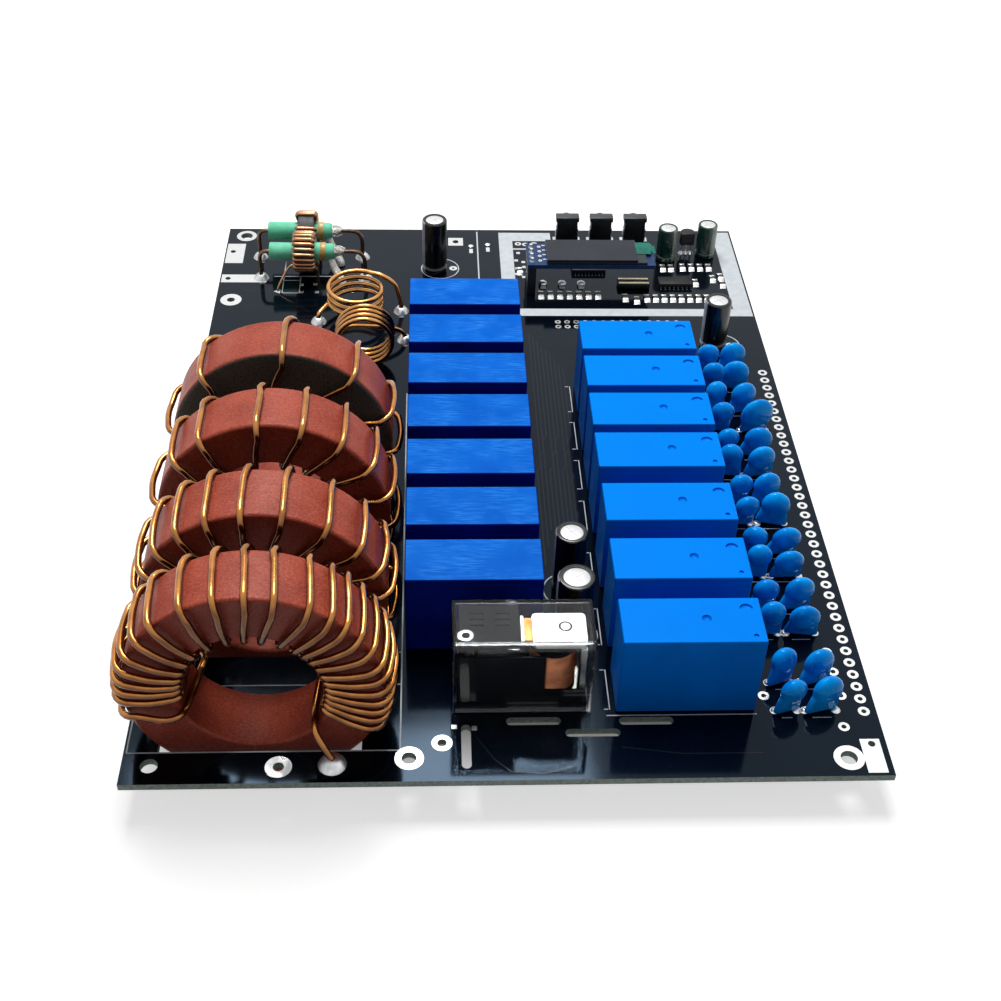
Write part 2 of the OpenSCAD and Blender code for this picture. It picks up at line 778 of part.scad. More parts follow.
// Yoke and iron core: one riveted magnetic frame, whose leg ends in the common pin
module relay_yoke() {
    left = coil_x - flange_r + 0.4;
    translate([left, -yoke_w / 2, base_top]) cube([yoke_out - left, yoke_w, plate_t]);
    translate([yoke_in, -yoke_w / 2, base_top]) cube([plate_t, yoke_w, arm_z - hinge_gap - base_top]);
    translate([coil_x, 0, base_top]) cylinder(r = iron_r, h = pole_z - base_top);
    translate([coil_x, 0, flange_z]) cylinder(r = pole_r, h = pole_z - flange_z);
    at([yoke_pin_x, 0]) block(pin_w, pin_w, -board_t, base_top + plate_t / 2);
}

module relay_yokes() {
    color("silver") on_board() for (p = all_relays) at(p) relay_yoke();
}

// Fixed contacts and coil pins
module relay_terminal_set() {
    at([open_pin_x, 0]) {
        block(pin_w, pin_w, -board_t, base_top + cut);
        block(pin_w, strip_w, base_top, open_z - 0.6);
        translate([0, 0, open_z - 0.6]) cylinder(r = contact_r, h = 0.6);
    }
    closed_z = arm_z + 1.2 + contact_gap;
    at([closed_pin_x, 0]) block(pin_w, pin_w, -board_t, base_top + cut);
    translate([strip_x, -strip_w / 2, base_top]) cube([0.6, strip_w, closed_z + 0.6 + strip_t - base_top]);
    translate([strip_x, -strip_w / 2, closed_z + 0.6])
        cube([contact_x + contact_r - strip_x, strip_w, strip_t]);
    translate([contact_x, 0, closed_z]) cylinder(r = contact_r, h = 0.6 + strip_t / 2);
    for (s = [-1, 1]) at([coil_pin_x, s * coil_pin_y]) block(pin_w, pin_w, -board_t, base_top + 2.4);
}

module relay_terminals() {
    color("khaki") on_board() for (p = all_relays) at(p) relay_terminal_set();
}

// Armature: an iron plate hinged on the yoke, with the contact leaf riveted to its end
module relay_armature(p) {
    color("gainsboro") on_board() at(p) {
        left = coil_x - pole_r - 1.6;
        translate([left, -yoke_w / 2 + 0.3, arm_z]) cube([hinge_x + 0.3 - left, yoke_w - 0.6, plate_t]);
        translate([leaf_end, -leaf_w / 2, arm_z + 0.4]) cube([left - leaf_end + 1, leaf_w, leaf_t]);
        translate([contact_x, 0, arm_z - contact_gap])
            cylinder(r = contact_r, h = plate_t + contact_gap);
    }
}

// Aluminium can with a crimp groove near its foot and a bevelled rim, on two leads
module can(d, h, pitch) {
    r = d / 2;
    groove = 0.07 * d;
    low = 0.25 * d;
    seat = 0.04 * d;
    rotate_extrude()
        polygon([
            [0, seat], [r - groove, seat], [r, seat + groove], [r, low], [r - groove, low + groove],
            [r, low + 2 * groove], [r, h - groove], [r - groove, h], [r - 1.8 * groove, h],
            [r - 2.2 * groove, h - 0.4 * groove], [0, h - 0.4 * groove]
        ]);
    for (s = [-1, 1]) translate([s * pitch / 2, 0, -board_t]) cylinder(d = lead_d, h = board_t + 1);
}

module power_capacitor_cans() {
    color("black") on_board() for (c = power_cans) at(c) can(c[2], c[3], can_lead_pitch);
}

module logic_capacitor_cans() {
    color("darkslategray") on_board() for (c = logic_cans) at(c) can(c[2], c[3], logic_lead_pitch);
}

// Disc capacitor: a rounded disc, whose coat runs down its two leads
coat_t = 1.7;
coat_w = 1;
coat_lift = 0.7;
coat_arch = 1.2;
module disc_capacitor(d, leads) {
    r = d / 2;
    e = disc_t / 2;
    x = leads / 2;
    z = max(disc_top, d + coat_lift) - r;
    translate([0, 0, z])
        rotate([90, 0, 0])
            rotate_extrude()
                intersection() {
                    union() {
                        translate([0, -e]) square([r - e, disc_t]);
                        translate([r - e, 0]) circle(e);
                    }
                    translate([0, -disc_t]) square([d, 2 * disc_t]);
                }
    translate([0, coat_t / 2, 0])
        rotate([90, 0, 0])
            linear_extrude(coat_t)
                polygon([
                    [-x - coat_w / 2, coat_lift], [coat_w / 2 - x, coat_lift],
                    [coat_w - x, coat_lift + coat_arch], [x - coat_w, coat_lift + coat_arch],
                    [x - coat_w / 2, coat_lift], [x + coat_w / 2, coat_lift],
                    [r * 0.97, z], [-r * 0.97, z]
                ]);
    for (s = [-1, 1])
        translate([s * x, 0, -board_t]) cylinder(d = lead_d, h = board_t + coat_lift + coat_arch);
}

module disc_capacitors() {
    color("deepskyblue") on_board() for (p = discs) at(p) disc_capacitor(p[2], p[3]);
}

module display_board() {
    color("midnightblue") on_board()
        difference() {
            at(display_at, display_z - display_t) cube([display_l, display_w, display_t]);
            for (p = header_places)
                at(p, display_z - display_t - cut)
                    cylinder(d = header_pin * sqrt(2) + 2 * bore_clear, h = display_t + 2 * cut);
        }
}

glass_left = 5.6;
glass_right = 2.4;
glass_side = 0.3;
module display_glass() {
    color("slategray") on_board()
        translate([display_at.x + glass_left, display_at.y + glass_side, display_z])
            cube([display_l - glass_left - glass_right, display_w - 2 * glass_side, glass_t]);
}

module display_header() {
    long = header_pins * header_pitch;
    color("black") on_board() {
        translate([display_at.x + header_in - header_w / 2, display_at.y + (display_w - long) / 2, 0])
            cube([header_w, long, display_z - display_t]);
        for (p = header_places) at(p) block(header_pin, header_pin, -board_t, display_z + 1);
    }
}

module switch_bodies() {
    color("black") on_board() {
        for (p = switch_places)
            difference() {
                union() {
                    translate([p.x - switch_w / 2, p.y, 0]) cube([switch_w, switch_t, switch_h]);
                    translate([p.x - switch_w / 2 - switch_lip, p.y, switch_h - switch_lip_h])
                        cube([switch_w + 2 * switch_lip, switch_t, switch_lip_h]);
                }
                translate([p.x, p.y + switch_t - plunger_seat - plunger_travel, plunger_z])
                    rotate([-90, 0, 0]) cylinder(d = plunger_d + 2 * plunger_clear, h = switch_t);
            }
        for (p = switch_legs) at(p) block(switch_leg, switch_leg, -board_t, 1);
    }
}

module switch_plunger(i) {
    p = switch_places[i];
    color("dimgray") on_board()
        translate([p.x, p.y + switch_t - plunger_seat + 0.02, plunger_z])
            rotate([-90, 0, 0]) {
                cylinder(d = plunger_d, h = plunger_seat + plunger_out - plunger_rim);
                translate([0, 0, plunger_seat + plunger_out - plunger_rim])
                    cylinder(d1 = plunger_d, d2 = plunger_d - 2 * plunger_rim, h = plunger_rim);
            }
}

// Transistor: a round body with a flat front, on three legs
module transistor() {
    color("black") on_board() {
        at(transistor_at, transistor_lift)
            difference() {
                cylinder(d = transistor_d, h = transistor_h);
                translate([-transistor_d, -transistor_d - transistor_flat, -cut])
                    cube([2 * transistor_d, transistor_d, transistor_h + 2 * cut]);
            }
        for (p = transistor_legs)
            at(p) block(transistor_leg, transistor_leg, -board_t, transistor_lift + cut);
    }
}

// Flat chip with two rows of pins
module chip(l, w, h, pins, pitch) {
    block(l, w, 0.1, h);
    for (i = [0:pins - 1], s = [-1, 1])
        translate([(i - (pins - 1) / 2) * pitch, s * (w / 2 + 0.5), 0]) block(pitch * 0.4, 1.4, 0, 0.5);
}

chip_h = 1.5;
crystal_h = 2;
module chips() {
    color("black") on_board() {
        at([logic_x + 16, board_l - 20.5]) chip(10, 10, chip_h, 9, 1);
        at([logic_x + 41, board_l - 31]) chip(9.9, 4, chip_h, 8, 1.27);
        at([logic_x + 28.5, board_l - 32]) block(9.4, 3.4, 0, crystal_h);
    }
}

// Small surface parts: x, y, count and spacing of each row
smd_rows = [
    [logic_x + 1.1, board_l - 37, 7, 2.76], [logic_x + 31.8, board_l - right_row_back, 8, 2.5],
    [logic_x - 4.4, board_l - 24, 1, 2.6], [logic_x + 2, board_l - 31.5, 3, 5.6],
    [logic_x + 38.4, board_l - 22, 2, 2.4], [logic_x + 44.4, board_l - 21.6, 4, 2.6],
    [logic_x + 55, board_l - 27, 1, 2.5], [logic_x + 55, board_l - 31, 1, 2.5]
];
module smd_passives() {
    color("lightgray") on_board()
        for (row = smd_rows, i = [0:row[2] - 1])
            at([row[0] + i * row[3], row[1]]) block(smd_size.x, smd_size.y, 0, smd_size.z);
}

// Holes of all leads in the board: places and diameter
round_leads = concat(
    [for (c = power_cans, s = [-1, 1]) [c.x + s * can_lead_pitch / 2, c.y]],
    [for (c = logic_cans, s = [-1, 1]) [c.x + s * logic_lead_pitch / 2, c.y]],
    [for (p = discs, s = [-1, 1]) [p.x + s * p[3] / 2, p.y]]
);
relay_leads = [for (p = all_relays, q = relay_pins) p + q];
power_leads = concat(
    [for (p = core_pads) [p, wire_d]],
    [for (p = coil_pads) [p, coil_wire]],
    [for (p = stub_pads) [p, conductor_d]]
);
small_leads = concat(
    [for (p = header_places) [p, header_pin * sqrt(2)]],
    [for (p = switch_legs) [p, switch_leg * sqrt(2)]],
    [for (p = transistor_legs) [p, transistor_leg * sqrt(2)]],
    [for (s = stubs, a = [ring_start, ring_start + ring_span])
        [[ring_lead_x, s.y + ring_in * cos(a)], ring_wire]]
);

module hole(p, d) {
    translate([p.x, p.y, -board_t - cut]) cylinder(d = d, h = board_t + 2 * cut);
}

module milled_slot(l, w) {
    translate([-(l - w) / 2, -w / 2, -board_t - cut]) cube([l - w, w, board_t + 2 * cut]);
    for (s = [-1, 1]) hole([s * (l - w) / 2, 0], w);
}

module circuit_board() {
    color("darkslategray") on_board()
        difference() {
            translate([0, 0, -board_t]) cube([board_w, board_l, board_t]);
            for (p = mounts) hole(p, mount_d);
            for (p = terminals) hole(p, p.z);
            for (p = concat(stitches, spares)) hole(p, stitch_d);
            for (m = milled) translate([m.x, m.y, 0]) rotate([0, 0, m.z]) milled_slot(milled_l, milled_w);
            for (i = [0:core_count - 1])
                translate([core_x - slot_l / 2, core_y(i) - slot_w / 2, -board_t - cut])
                    cube([slot_l, slot_w, board_t + 2 * cut]);
            for (p = round_leads) hole(p, lead_d + 2 * lead_clear);
            for (p = relay_leads) hole(p, pin_hole);
            for (l = concat(power_leads, small_leads)) hole(l[0], l[1] + 2 * lead_clear);
        }
}

// Solder joints under the board, on the ends of the leads
module joint(d) {
    translate([0, 0, -board_t - joint_h]) cylinder(d1 = d * 0.5, d2 = d, h = joint_h);
}

// Solder round a heavy lead, on top of the board
fillet_h = 1.1;
module fillet(d, bore) {
    difference() {
        cylinder(d1 = d, d2 = bore + 0.8, h = fillet_h);
        translate([0, 0, -cut]) cylinder(d = bore, h = fillet_h + 2 * cut);
    }
}

joint_over = 0.8;
heavy_over = 2.6;
module power_solder_joints() {
    color("silver") on_board() {
        for (l = power_leads) at(l[0]) joint(l[1] + heavy_over);
        for (l = power_leads) at(l[0]) fillet(l[1] + heavy_over, l[1] + 2 * bore_clear);
        for (p = relay_leads) at(p) joint(pin_hole + joint_over);
    }
}

module signal_solder_joints() {
    color("silver") on_board() {
        for (p = round_leads) at(p) joint(lead_d + joint_over);
        for (l = small_leads) at(l[0]) joint(l[1] + 0.7);
    }
}

circuit_board();
power_solder_joints();
signal_solder_joints();
for (i = [0:core_count - 1]) {
    toroid_core(i);
    toroid_winding(i);
}
air_coil_rear();
air_coil_front();
coupler_sleeves();
coupler_braids();
coupler_conductors();
coupler_cores();
coupler_winding(0);  // coupler_winding_rear
coupler_winding(1);  // coupler_winding_front
inductor_relay_covers();
capacitor_relay_covers();
antenna_relay_cover();
relay_bases();
relay_bobbins();
relay_windings();
relay_yokes();
relay_terminals();
for (i = column_ids) {
    relay_armature(left_relays[i - 1]);
    relay_armature(right_relays[i - 1]);
}
relay_armature(antenna_relay);  // antenna_relay_armature
power_capacitor_cans();
logic_capacitor_cans();
disc_capacitors();
display_board();
display_glass();
display_header();
switch_bodies();
for (i = [0:2])
    switch_plunger(i);
transistor();
chips();
smd_passives();
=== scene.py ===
"""Looks for an open antenna tuner board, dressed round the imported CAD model.

Places are given in board coordinates: millimetres from the left front corner of the
board, with z = 0 on its top face. at() turns them into the frame's metres.
"""
import math
import random

import bmesh
import bpy
from mathutils import Matrix, Vector


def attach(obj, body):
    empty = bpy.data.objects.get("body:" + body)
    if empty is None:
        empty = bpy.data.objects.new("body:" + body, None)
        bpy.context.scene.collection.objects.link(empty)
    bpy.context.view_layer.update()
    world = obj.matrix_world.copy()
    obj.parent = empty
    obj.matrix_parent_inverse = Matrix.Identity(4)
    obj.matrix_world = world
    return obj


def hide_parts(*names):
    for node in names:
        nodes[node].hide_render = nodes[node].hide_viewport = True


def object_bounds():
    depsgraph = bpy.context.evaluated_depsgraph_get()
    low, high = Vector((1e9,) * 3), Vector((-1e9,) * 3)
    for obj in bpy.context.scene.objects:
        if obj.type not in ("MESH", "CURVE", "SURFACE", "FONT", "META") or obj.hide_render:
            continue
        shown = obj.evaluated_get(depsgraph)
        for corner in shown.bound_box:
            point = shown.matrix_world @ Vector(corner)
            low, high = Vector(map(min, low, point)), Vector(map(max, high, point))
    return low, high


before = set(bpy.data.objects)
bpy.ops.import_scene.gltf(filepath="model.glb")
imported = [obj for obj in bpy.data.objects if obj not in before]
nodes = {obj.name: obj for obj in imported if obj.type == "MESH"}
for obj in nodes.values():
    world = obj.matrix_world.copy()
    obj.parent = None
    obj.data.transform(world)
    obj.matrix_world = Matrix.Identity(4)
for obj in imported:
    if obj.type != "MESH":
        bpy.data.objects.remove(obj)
cad_low, cad_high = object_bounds()
scene = bpy.context.scene

MM = 0.001
BOARD = "board_assembly"
ORIGIN = (75.5, 106.6, -1.6)
UNDERSIDE = -1.6
HALF_WIDTH, HALF_LENGTH = 77.0, 106.5


def at(x, y, z=0.0):
    """A point in board coordinates, in the frame's metres."""
    return Vector(((x - ORIGIN[0]) * MM, (y - ORIGIN[1]) * MM, (z - ORIGIN[2]) * MM))


# ---------------------------------------------------------------- mesh helpers

def linked(name, data):
    """An object in the scene for a mesh, curve, camera or lamp."""
    obj = bpy.data.objects.new(name, data)
    scene.collection.objects.link(obj)
    return obj


def mesh_of(bm, name="shape"):
    """A mesh from a bmesh, which is then freed."""
    mesh = bpy.data.meshes.new(name)
    bm.to_mesh(mesh)
    bm.free()
    return mesh


def shape_of(bm):
    """A mesh from a bmesh, with its doubles merged and its faces turned outwards."""
    bmesh.ops.remove_doubles(bm, verts=bm.verts, dist=1e-7)
    bmesh.ops.recalc_face_normals(bm, faces=bm.faces)
    return mesh_of(bm)


def moved(x, y, z):
    """Matrix of a move in millimetres."""
    return Matrix.Translation((x * MM, y * MM, z * MM))


def sized(x, y, z):
    """Matrix that brings a unit shape to sizes in millimetres."""
    return Matrix.Diagonal((x * MM, y * MM, z * MM, 1))


def turned(degrees, axis="Z"):
    """Matrix of a turn round an axis."""
    return Matrix.Rotation(math.radians(degrees), 4, axis)


def placed(x, y, z=0.0, turn=0.0):
    """Matrix that takes a shape made round the origin to a place on the board."""
    return Matrix.Translation(at(x, y, z)) @ turned(turn)


def stamp(bm, shape, matrix=Matrix.Identity(4), finish=None):
    """Adds a copy of a shape to a bmesh; finish is the material index of the copy."""
    first_vert, first_face = len(bm.verts), len(bm.faces)
    bm.from_mesh(shape)
    bm.verts.ensure_lookup_table()
    bm.faces.ensure_lookup_table()
    bmesh.ops.transform(bm, matrix=matrix, verts=bm.verts[first_vert:])
    if finish is not None:
        for face in bm.faces[first_face:]:
            face.material_index = finish


def stamp_all(bm, shape, places):
    """Adds a copy of a shape at each place of a list."""
    for x, y in places:
        stamp(bm, shape, placed(x, y))


def bevelled(bm, edges, offset, segments):
    """Rounds some edges of a bmesh."""
    bmesh.ops.bevel(bm, geom=edges, offset=offset * MM, offset_type="OFFSET", segments=segments,
                    profile=0.5, affect="EDGES", clamp_overlap=True, material=-1)


def cut_off(bm, point, normal):
    """Cuts a bmesh at a plane and drops the side that the normal points to."""
    bmesh.ops.bisect_plane(bm, geom=bm.verts[:] + bm.edges[:] + bm.faces[:], plane_co=point,
                           plane_no=normal, clear_outer=True)


def rounded_block(size, edge, segments=2, base=0.0):
    """A block of millimetre sizes standing on base, with rounded edges."""
    bm = bmesh.new()
    bmesh.ops.create_cube(bm, size=1, matrix=moved(0, 0, base + size[2] / 2) @ sized(*size))
    bevelled(bm, bm.edges[:], edge, segments)
    return shape_of(bm)


def add_block(bm, size, edge, segments, base, x, y, finish=None):
    """Adds a rounded block at a place on the board."""
    stamp(bm, rounded_block(size, edge, segments, base), placed(x, y), finish)


def lathe(profile, steps=24, axis="Z", sweep=360):
    """A profile of (radius, height) points in millimetres, spun round an axis."""
    bm = bmesh.new()
    verts = [bm.verts.new((r * MM, 0, h * MM)) for r, h in profile]
    edges = [bm.edges.new(pair) for pair in zip(verts, verts[1:])]
    bmesh.ops.spin(bm, geom=verts + edges, cent=(0, 0, 0), axis=(0, 0, 1), angle=math.radians(sweep),
                   steps=steps, use_merge=sweep == 360)
    if axis != "Z":
        angle, hinge = (math.pi / 2, "Y") if axis == "X" else (-math.pi / 2, "X")
        bmesh.ops.rotate(bm, cent=(0, 0, 0), matrix=Matrix.Rotation(angle, 3, hinge), verts=bm.verts)
    return shape_of(bm)


def washer(inner, outer, low, high, steps=24):
    """A flat ring."""
    return lathe([(inner, low), (outer, low), (outer, high), (inner, high), (inner, low)], steps)


def bar(bm, a, b, width, low=0.0, high=0.03):
    """A flat bar on the board from a to b."""
    d = Vector((b[0] - a[0], b[1] - a[1]))
    middle = placed((a[0] + b[0]) / 2, (a[1] + b[1]) / 2, (low + high) / 2,
                    math.degrees(math.atan2(d.y, d.x)))
    bmesh.ops.create_cube(bm, size=1, matrix=middle @ sized(d.length + width, width, high - low))


def settled(obj):
    """The mesh of an object with its modifiers applied; the object is removed."""
    bpy.context.view_layer.update()
    mesh = bpy.data.meshes.new_from_object(obj.evaluated_get(bpy.context.evaluated_depsgraph_get()))
    bpy.data.objects.remove(obj)
    return mesh


def carved(shape, cutters):
    """A mesh with the cutter meshes taken out of it."""
    target = linked("target", shape)
    knives = []
    for cutter, matrix in cutters:
        bm = bmesh.new()
        stamp(bm, cutter, matrix)
        knives.append(linked("knife", shape_of(bm)))
        cut = target.modifiers.new("cut", "BOOLEAN")
        cut.operation, cut.solver, cut.object = "DIFFERENCE", "EXACT", knives[-1]
    made = settled(target)
    for knife in knives:
        bpy.data.objects.remove(knife)
    return made


def smooth_path(points, per=6):
    """Points along a smooth curve through the given ones."""
    p = [Vector(q) for q in points]
    p = [2 * p[0] - p[1], *p, 2 * p[-1] - p[-2]]
    made = []
    for a, b, c, d in zip(p, p[1:], p[2:], p[3:]):
        for k in range(per):
            t = k / per
            made.append(0.5 * (2 * b + (c - a) * t + (2 * a - 5 * b + 4 * c - d) * t * t
                               + (3 * b - a - 3 * c + d) * t ** 3))
    return made + [p[-2]]


def wires(paths, diameter, sides=2):
    """Round wires along paths in board coordinates; a fourth number swells the wire at a point."""
    line = bpy.data.curves.new("wire", "CURVE")
    line.dimensions = "3D"
    line.bevel_depth = diameter / 2 * MM
    line.bevel_resolution = sides
    line.use_fill_caps = True
    for path in paths:
        spline = line.splines.new("POLY")
        spline.points.add(len(path) - 1)
        for point, place in zip(spline.points, path):
            point.co = (*at(*place[:3]), 1)
            point.radius = place[3] if len(place) > 3 else 1
    bm = bmesh.new()
    bm.from_mesh(settled(linked("wire", line)))
    return shape_of(bm)


def piece(name, mesh, finishes, body=BOARD, replaces=(), crease=35, even=False):
    """A finished piece, riding on its body; even keeps its flat faces flat when shaded."""
    if isinstance(mesh, bmesh.types.BMesh):
        mesh = mesh_of(mesh, name)
    mesh.name = name
    for finish in finishes if isinstance(finishes, (list, tuple)) else [finishes]:
        mesh.materials.append(finish)
    mesh.polygons.foreach_set("use_smooth", [True] * len(mesh.polygons))
    mesh.set_sharp_from_angle(angle=math.radians(crease))
    obj = linked(name, mesh)
    if even:
        level = obj.modifiers.new("even", "WEIGHTED_NORMAL")
        level.keep_sharp = True
    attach(obj, body)
    if replaces:
        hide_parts(*replaces)


def dress(name, finish):
    """Gives a CAD node its finish."""
    slots = nodes[name].data.materials
    slots.clear()
    slots.append(finish)


# ---------------------------------------------------------------- finishes

def shade(code):
    """Linear colour from a six-figure colour code."""
    parts = [int(code[i:i + 2], 16) / 255 for i in (1, 3, 5)]
    return (*[c / 12.92 if c <= 0.04045 else ((c + 0.055) / 1.055) ** 2.4 for c in parts], 1)


def effect(name, inputs, outputs):
    """An empty node group with named inputs and outputs."""
    group = bpy.data.node_groups.new(name, "ShaderNodeTree")
    for label, value in inputs:
        socket = group.interface.new_socket(label, in_out="INPUT", socket_type="NodeSocketFloat")
        socket.default_value = value
    for label in outputs:
        group.interface.new_socket(label, in_out="OUTPUT", socket_type="NodeSocketFloat")
    return group, group.nodes.new("NodeGroupInput"), group.nodes.new("NodeGroupOutput")


def noise_mask(group, given, put, where, detail):
    """Noise inside a group, spread from Low to High as its Mask; gives the raw noise."""
    noise = group.nodes.new("ShaderNodeTexNoise")
    noise.inputs["Detail"].default_value = detail
    spread = group.nodes.new("ShaderNodeMapRange")
    for a, b in ((where, noise.inputs["Vector"]), (given.outputs["Scale"], noise.inputs["Scale"]),
                 (noise.outputs["Fac"], spread.inputs["Value"]),
                 (given.outputs["Low"], spread.inputs["From Min"]),
                 (given.outputs["High"], spread.inputs["From Max"]),
                 (spread.outputs["Result"], put.inputs["Mask"])):
        group.links.new(a, b)
    return noise.outputs["Fac"]


def mottle_effect():
    """Soft wandering patches: a mask from 0 to 1, and the raw noise as a height."""
    group, given, put = effect("mottle", [("Scale", 200), ("Low", 0.35), ("High", 0.65)],
                               ["Mask", "Height"])
    place = group.nodes.new("ShaderNodeTexCoord").outputs["Object"]
    group.links.new(noise_mask(group, given, put, place, 5), put.inputs["Height"])
    return group


def rub_effect():
    """Fine rubbed streaks along one direction, as a mask."""
    group, given, put = effect("rub", [("Scale", 300), ("Stretch", 8), ("Turn", 0), ("Low", 0.55),
                                       ("High", 0.7)], ["Mask"])
    place = group.nodes.new("ShaderNodeTexCoord")
    turn = group.nodes.new("ShaderNodeVectorRotate")
    turn.rotation_type = "Z_AXIS"
    along = group.nodes.new("ShaderNodeCombineXYZ")
    along.inputs["X"].default_value = 1
    along.inputs["Z"].default_value = 1
    pull = group.nodes.new("ShaderNodeVectorMath")
    pull.operation = "MULTIPLY"
    for a, b in ((given.outputs["Stretch"], along.inputs["Y"]),
                 (place.outputs["Object"], turn.inputs["Vector"]),
                 (given.outputs["Turn"], turn.inputs["Angle"]),
                 (turn.outputs["Vector"], pull.inputs[0]), (along.outputs["Vector"], pull.inputs[1])):
        group.links.new(a, b)
    noise_mask(group, given, put, pull.outputs["Vector"], 4)
    return group


MOTTLE = mottle_effect()
RUB = rub_effect()


class Finish:
    """A material under construction: a Principled shader and the nodes that feed it."""

    def __init__(self, name, roughness=0.5, **plain):
        self.material = bpy.data.materials.new(name)
        self.material.use_nodes = True
        self.tree = self.material.node_tree
        self.shader = next(n for n in self.tree.nodes if n.type == "BSDF_PRINCIPLED")
        self.shader.inputs["Roughness"].default_value = roughness
        for label, value in plain.items():
            self.shader.inputs[label.replace("_", " ")].default_value = value

    def node(self, kind, **settings):
        made = self.tree.nodes.new(kind)
        for label, value in settings.items():
            setattr(made, label, value)
        return made

    def link(self, a, b):
        self.tree.links.new(a, b)

    def group(self, tree, **values):
        """The outputs of an effect with its own values."""
        made = self.node("ShaderNodeGroup", node_tree=tree)
        for label, value in values.items():
            made.inputs[label].default_value = value
        return made.outputs

    def mottle(self, scale, low=0.35, high=0.65):
        return self.group(MOTTLE, Scale=scale, Low=low, High=high)

    def rub(self, scale, stretch=8, turn=0.0, low=0.55, high=0.7):
        return self.group(RUB, Scale=scale, Stretch=stretch, Turn=turn, Low=low, High=high)["Mask"]

    def blend(self, a, b, mask):
        """A colour between two others by a mask; each is a colour code or a socket."""
        mix = self.node("ShaderNodeMix", data_type="RGBA")
        for value, socket in ((a, mix.inputs[6]), (b, mix.inputs[7])):
            if isinstance(value, str):
                socket.default_value = shade(value)
            else:
                self.link(value, socket)
        self.link(mask, mix.inputs[0])
        return mix.outputs[2]

    def span(self, value, low, high, out_low, out_high):
        """A value carried from one range to another."""
        made = self.node("ShaderNodeMapRange")
        for socket, number in zip(("From Min", "From Max", "To Min", "To Max"),
                                  (low, high, out_low, out_high)):
            made.inputs[socket].default_value = number
        self.link(value, made.inputs["Value"])
        return made.outputs["Result"]

    def both(self, a, b, how="MULTIPLY"):
        """Two values reckoned together; the second is a number or a socket."""
        made = self.node("ShaderNodeMath", operation=how)
        self.link(a, made.inputs[0])
        if isinstance(b, bpy.types.NodeSocket):
            self.link(b, made.inputs[1])
        else:
            made.inputs[1].default_value = b
        return made.outputs[0]

    def unsigned(self, value):
        """A value without its sign."""
        return self.both(value, 0, "ABSOLUTE")

    def part(self, kind, output, axis):
        """One axis of a vector that a node puts out."""
        split = self.node("ShaderNodeSeparateXYZ")
        self.link(self.node(kind).outputs[output], split.inputs[0])
        return split.outputs[axis]

    def place(self, axis):
        """One of the Object coordinates."""
        return self.part("ShaderNodeTexCoord", "Object", axis)

    def facing(self, axis):
        """One part of the surface's direction."""
        return self.part("ShaderNodeNewGeometry", "Normal", axis)

    def colour(self, socket):
        self.link(socket, self.shader.inputs["Base Color"])

    def rough(self, socket, low, high):
        self.link(self.span(socket, 0, 1, low, high), self.shader.inputs["Roughness"])

    def bump(self, height, strength, distance):
        made = self.node("ShaderNodeBump")
        made.inputs["Strength"].default_value = strength
        made.inputs["Distance"].default_value = distance * MM
        self.link(height, made.inputs["Height"])
        self.link(made.outputs["Normal"], self.shader.inputs["Normal"])


def simple_finish(name, light, dark, scale, rough, bump=(0.3, 0.05), grain=1500, **plain):
    """A finish that wanders between two shades and two roughnesses, with grain in its surface."""
    made = Finish(name, **plain)
    patches = made.mottle(scale)["Mask"]
    made.colour(made.blend(light, dark, patches))
    made.rough(patches, *rough)
    made.bump(made.mottle(grain)["Height"], *bump)
    return made.material


def board_finish():
    """Glossy black mask over laminate, with greenish-grey cut edges."""
    made = Finish("solder_mask", Specular_IOR_Level=0.24, Specular_Tint=(0.42, 0.68, 1.0, 1))
    patches = made.mottle(45)["Mask"]
    specks = made.mottle(2600, 0.62, 0.76)["Mask"]
    mask = made.blend("#030810", "#070d18", patches)
    mask = made.blend(mask, "#1a2430", made.both(specks, 0.5))
    laminate = made.blend("#98a39a", "#78837b", made.rub(1400, 6, 0.0, 0.4, 0.7))
    flat = made.span(made.unsigned(made.facing("Z")), 0.4, 0.6, 0, 1)
    made.colour(made.blend(laminate, mask, flat))
    made.rough(made.both(flat, made.span(patches, 0, 1, 0.95, 1)), 0.7, 0.07)
    made.bump(made.mottle(700)["Height"], 0.05, 0.02)
    return made.material


def core_finish(name, dark_front=None):
    """Satin red-brown paint over pressed powder; dark_front is the y of a bare front face."""
    made = Finish(name, Specular_IOR_Level=0.2)
    patches = made.mottle(120)["Mask"]
    pits = made.mottle(2000, 0.5, 0.66)
    paint = made.blend("#b04c36", "#9a3e2b", patches)
    paint = made.blend(paint, "#5c1d12", made.both(pits["Mask"], 0.45))
    rubbed = made.rub(1300, 2.5, 0.0, 0.54, 0.68)
    paint = made.blend(paint, "#c4806e", made.both(rubbed, 0.32))
    # Painted shade: faces that turn away from the top are painted darker
    painted_side_shade = made.span(made.facing("Z"), 0.75, 0.05, 0, 0.55)
    paint = made.blend(paint, "#5a150a", painted_side_shade)
    if dark_front is not None:
        bare = made.blend("#4a4840", "#34322b", pits["Mask"])
        painted = made.span(made.place("Y"), dark_front, dark_front + 0.0003, 0, 1)
        paint = made.blend(bare, paint, painted)
    made.colour(paint)
    made.rough(patches, 0.36, 0.48)
    made.bump(pits["Height"], 0.7, 0.16)
    return made.material


def copper_finish(name, light, dark, rough=(0.24, 0.38), under=0.0, metal=1.0):
    """Clear enamel over copper wire, painted darker towards the underside as shade, by the given
    amount.
    """
    made = Finish(name, Metallic=metal, Coat_Weight=0.5, Coat_Roughness=0.1)
    patches = made.mottle(260)["Mask"]
    wire = made.blend(light, dark, patches)
    # Painted shade: the wire darkens as its surface turns away from the top
    low = made.span(made.facing("Z"), 1.0, 0.3, 0, under)
    made.colour(made.blend(wire, "#2c0d03", low))
    made.rough(patches, *rough)
    made.bump(made.mottle(900)["Height"], 0.15, 0.05)
    return made.material


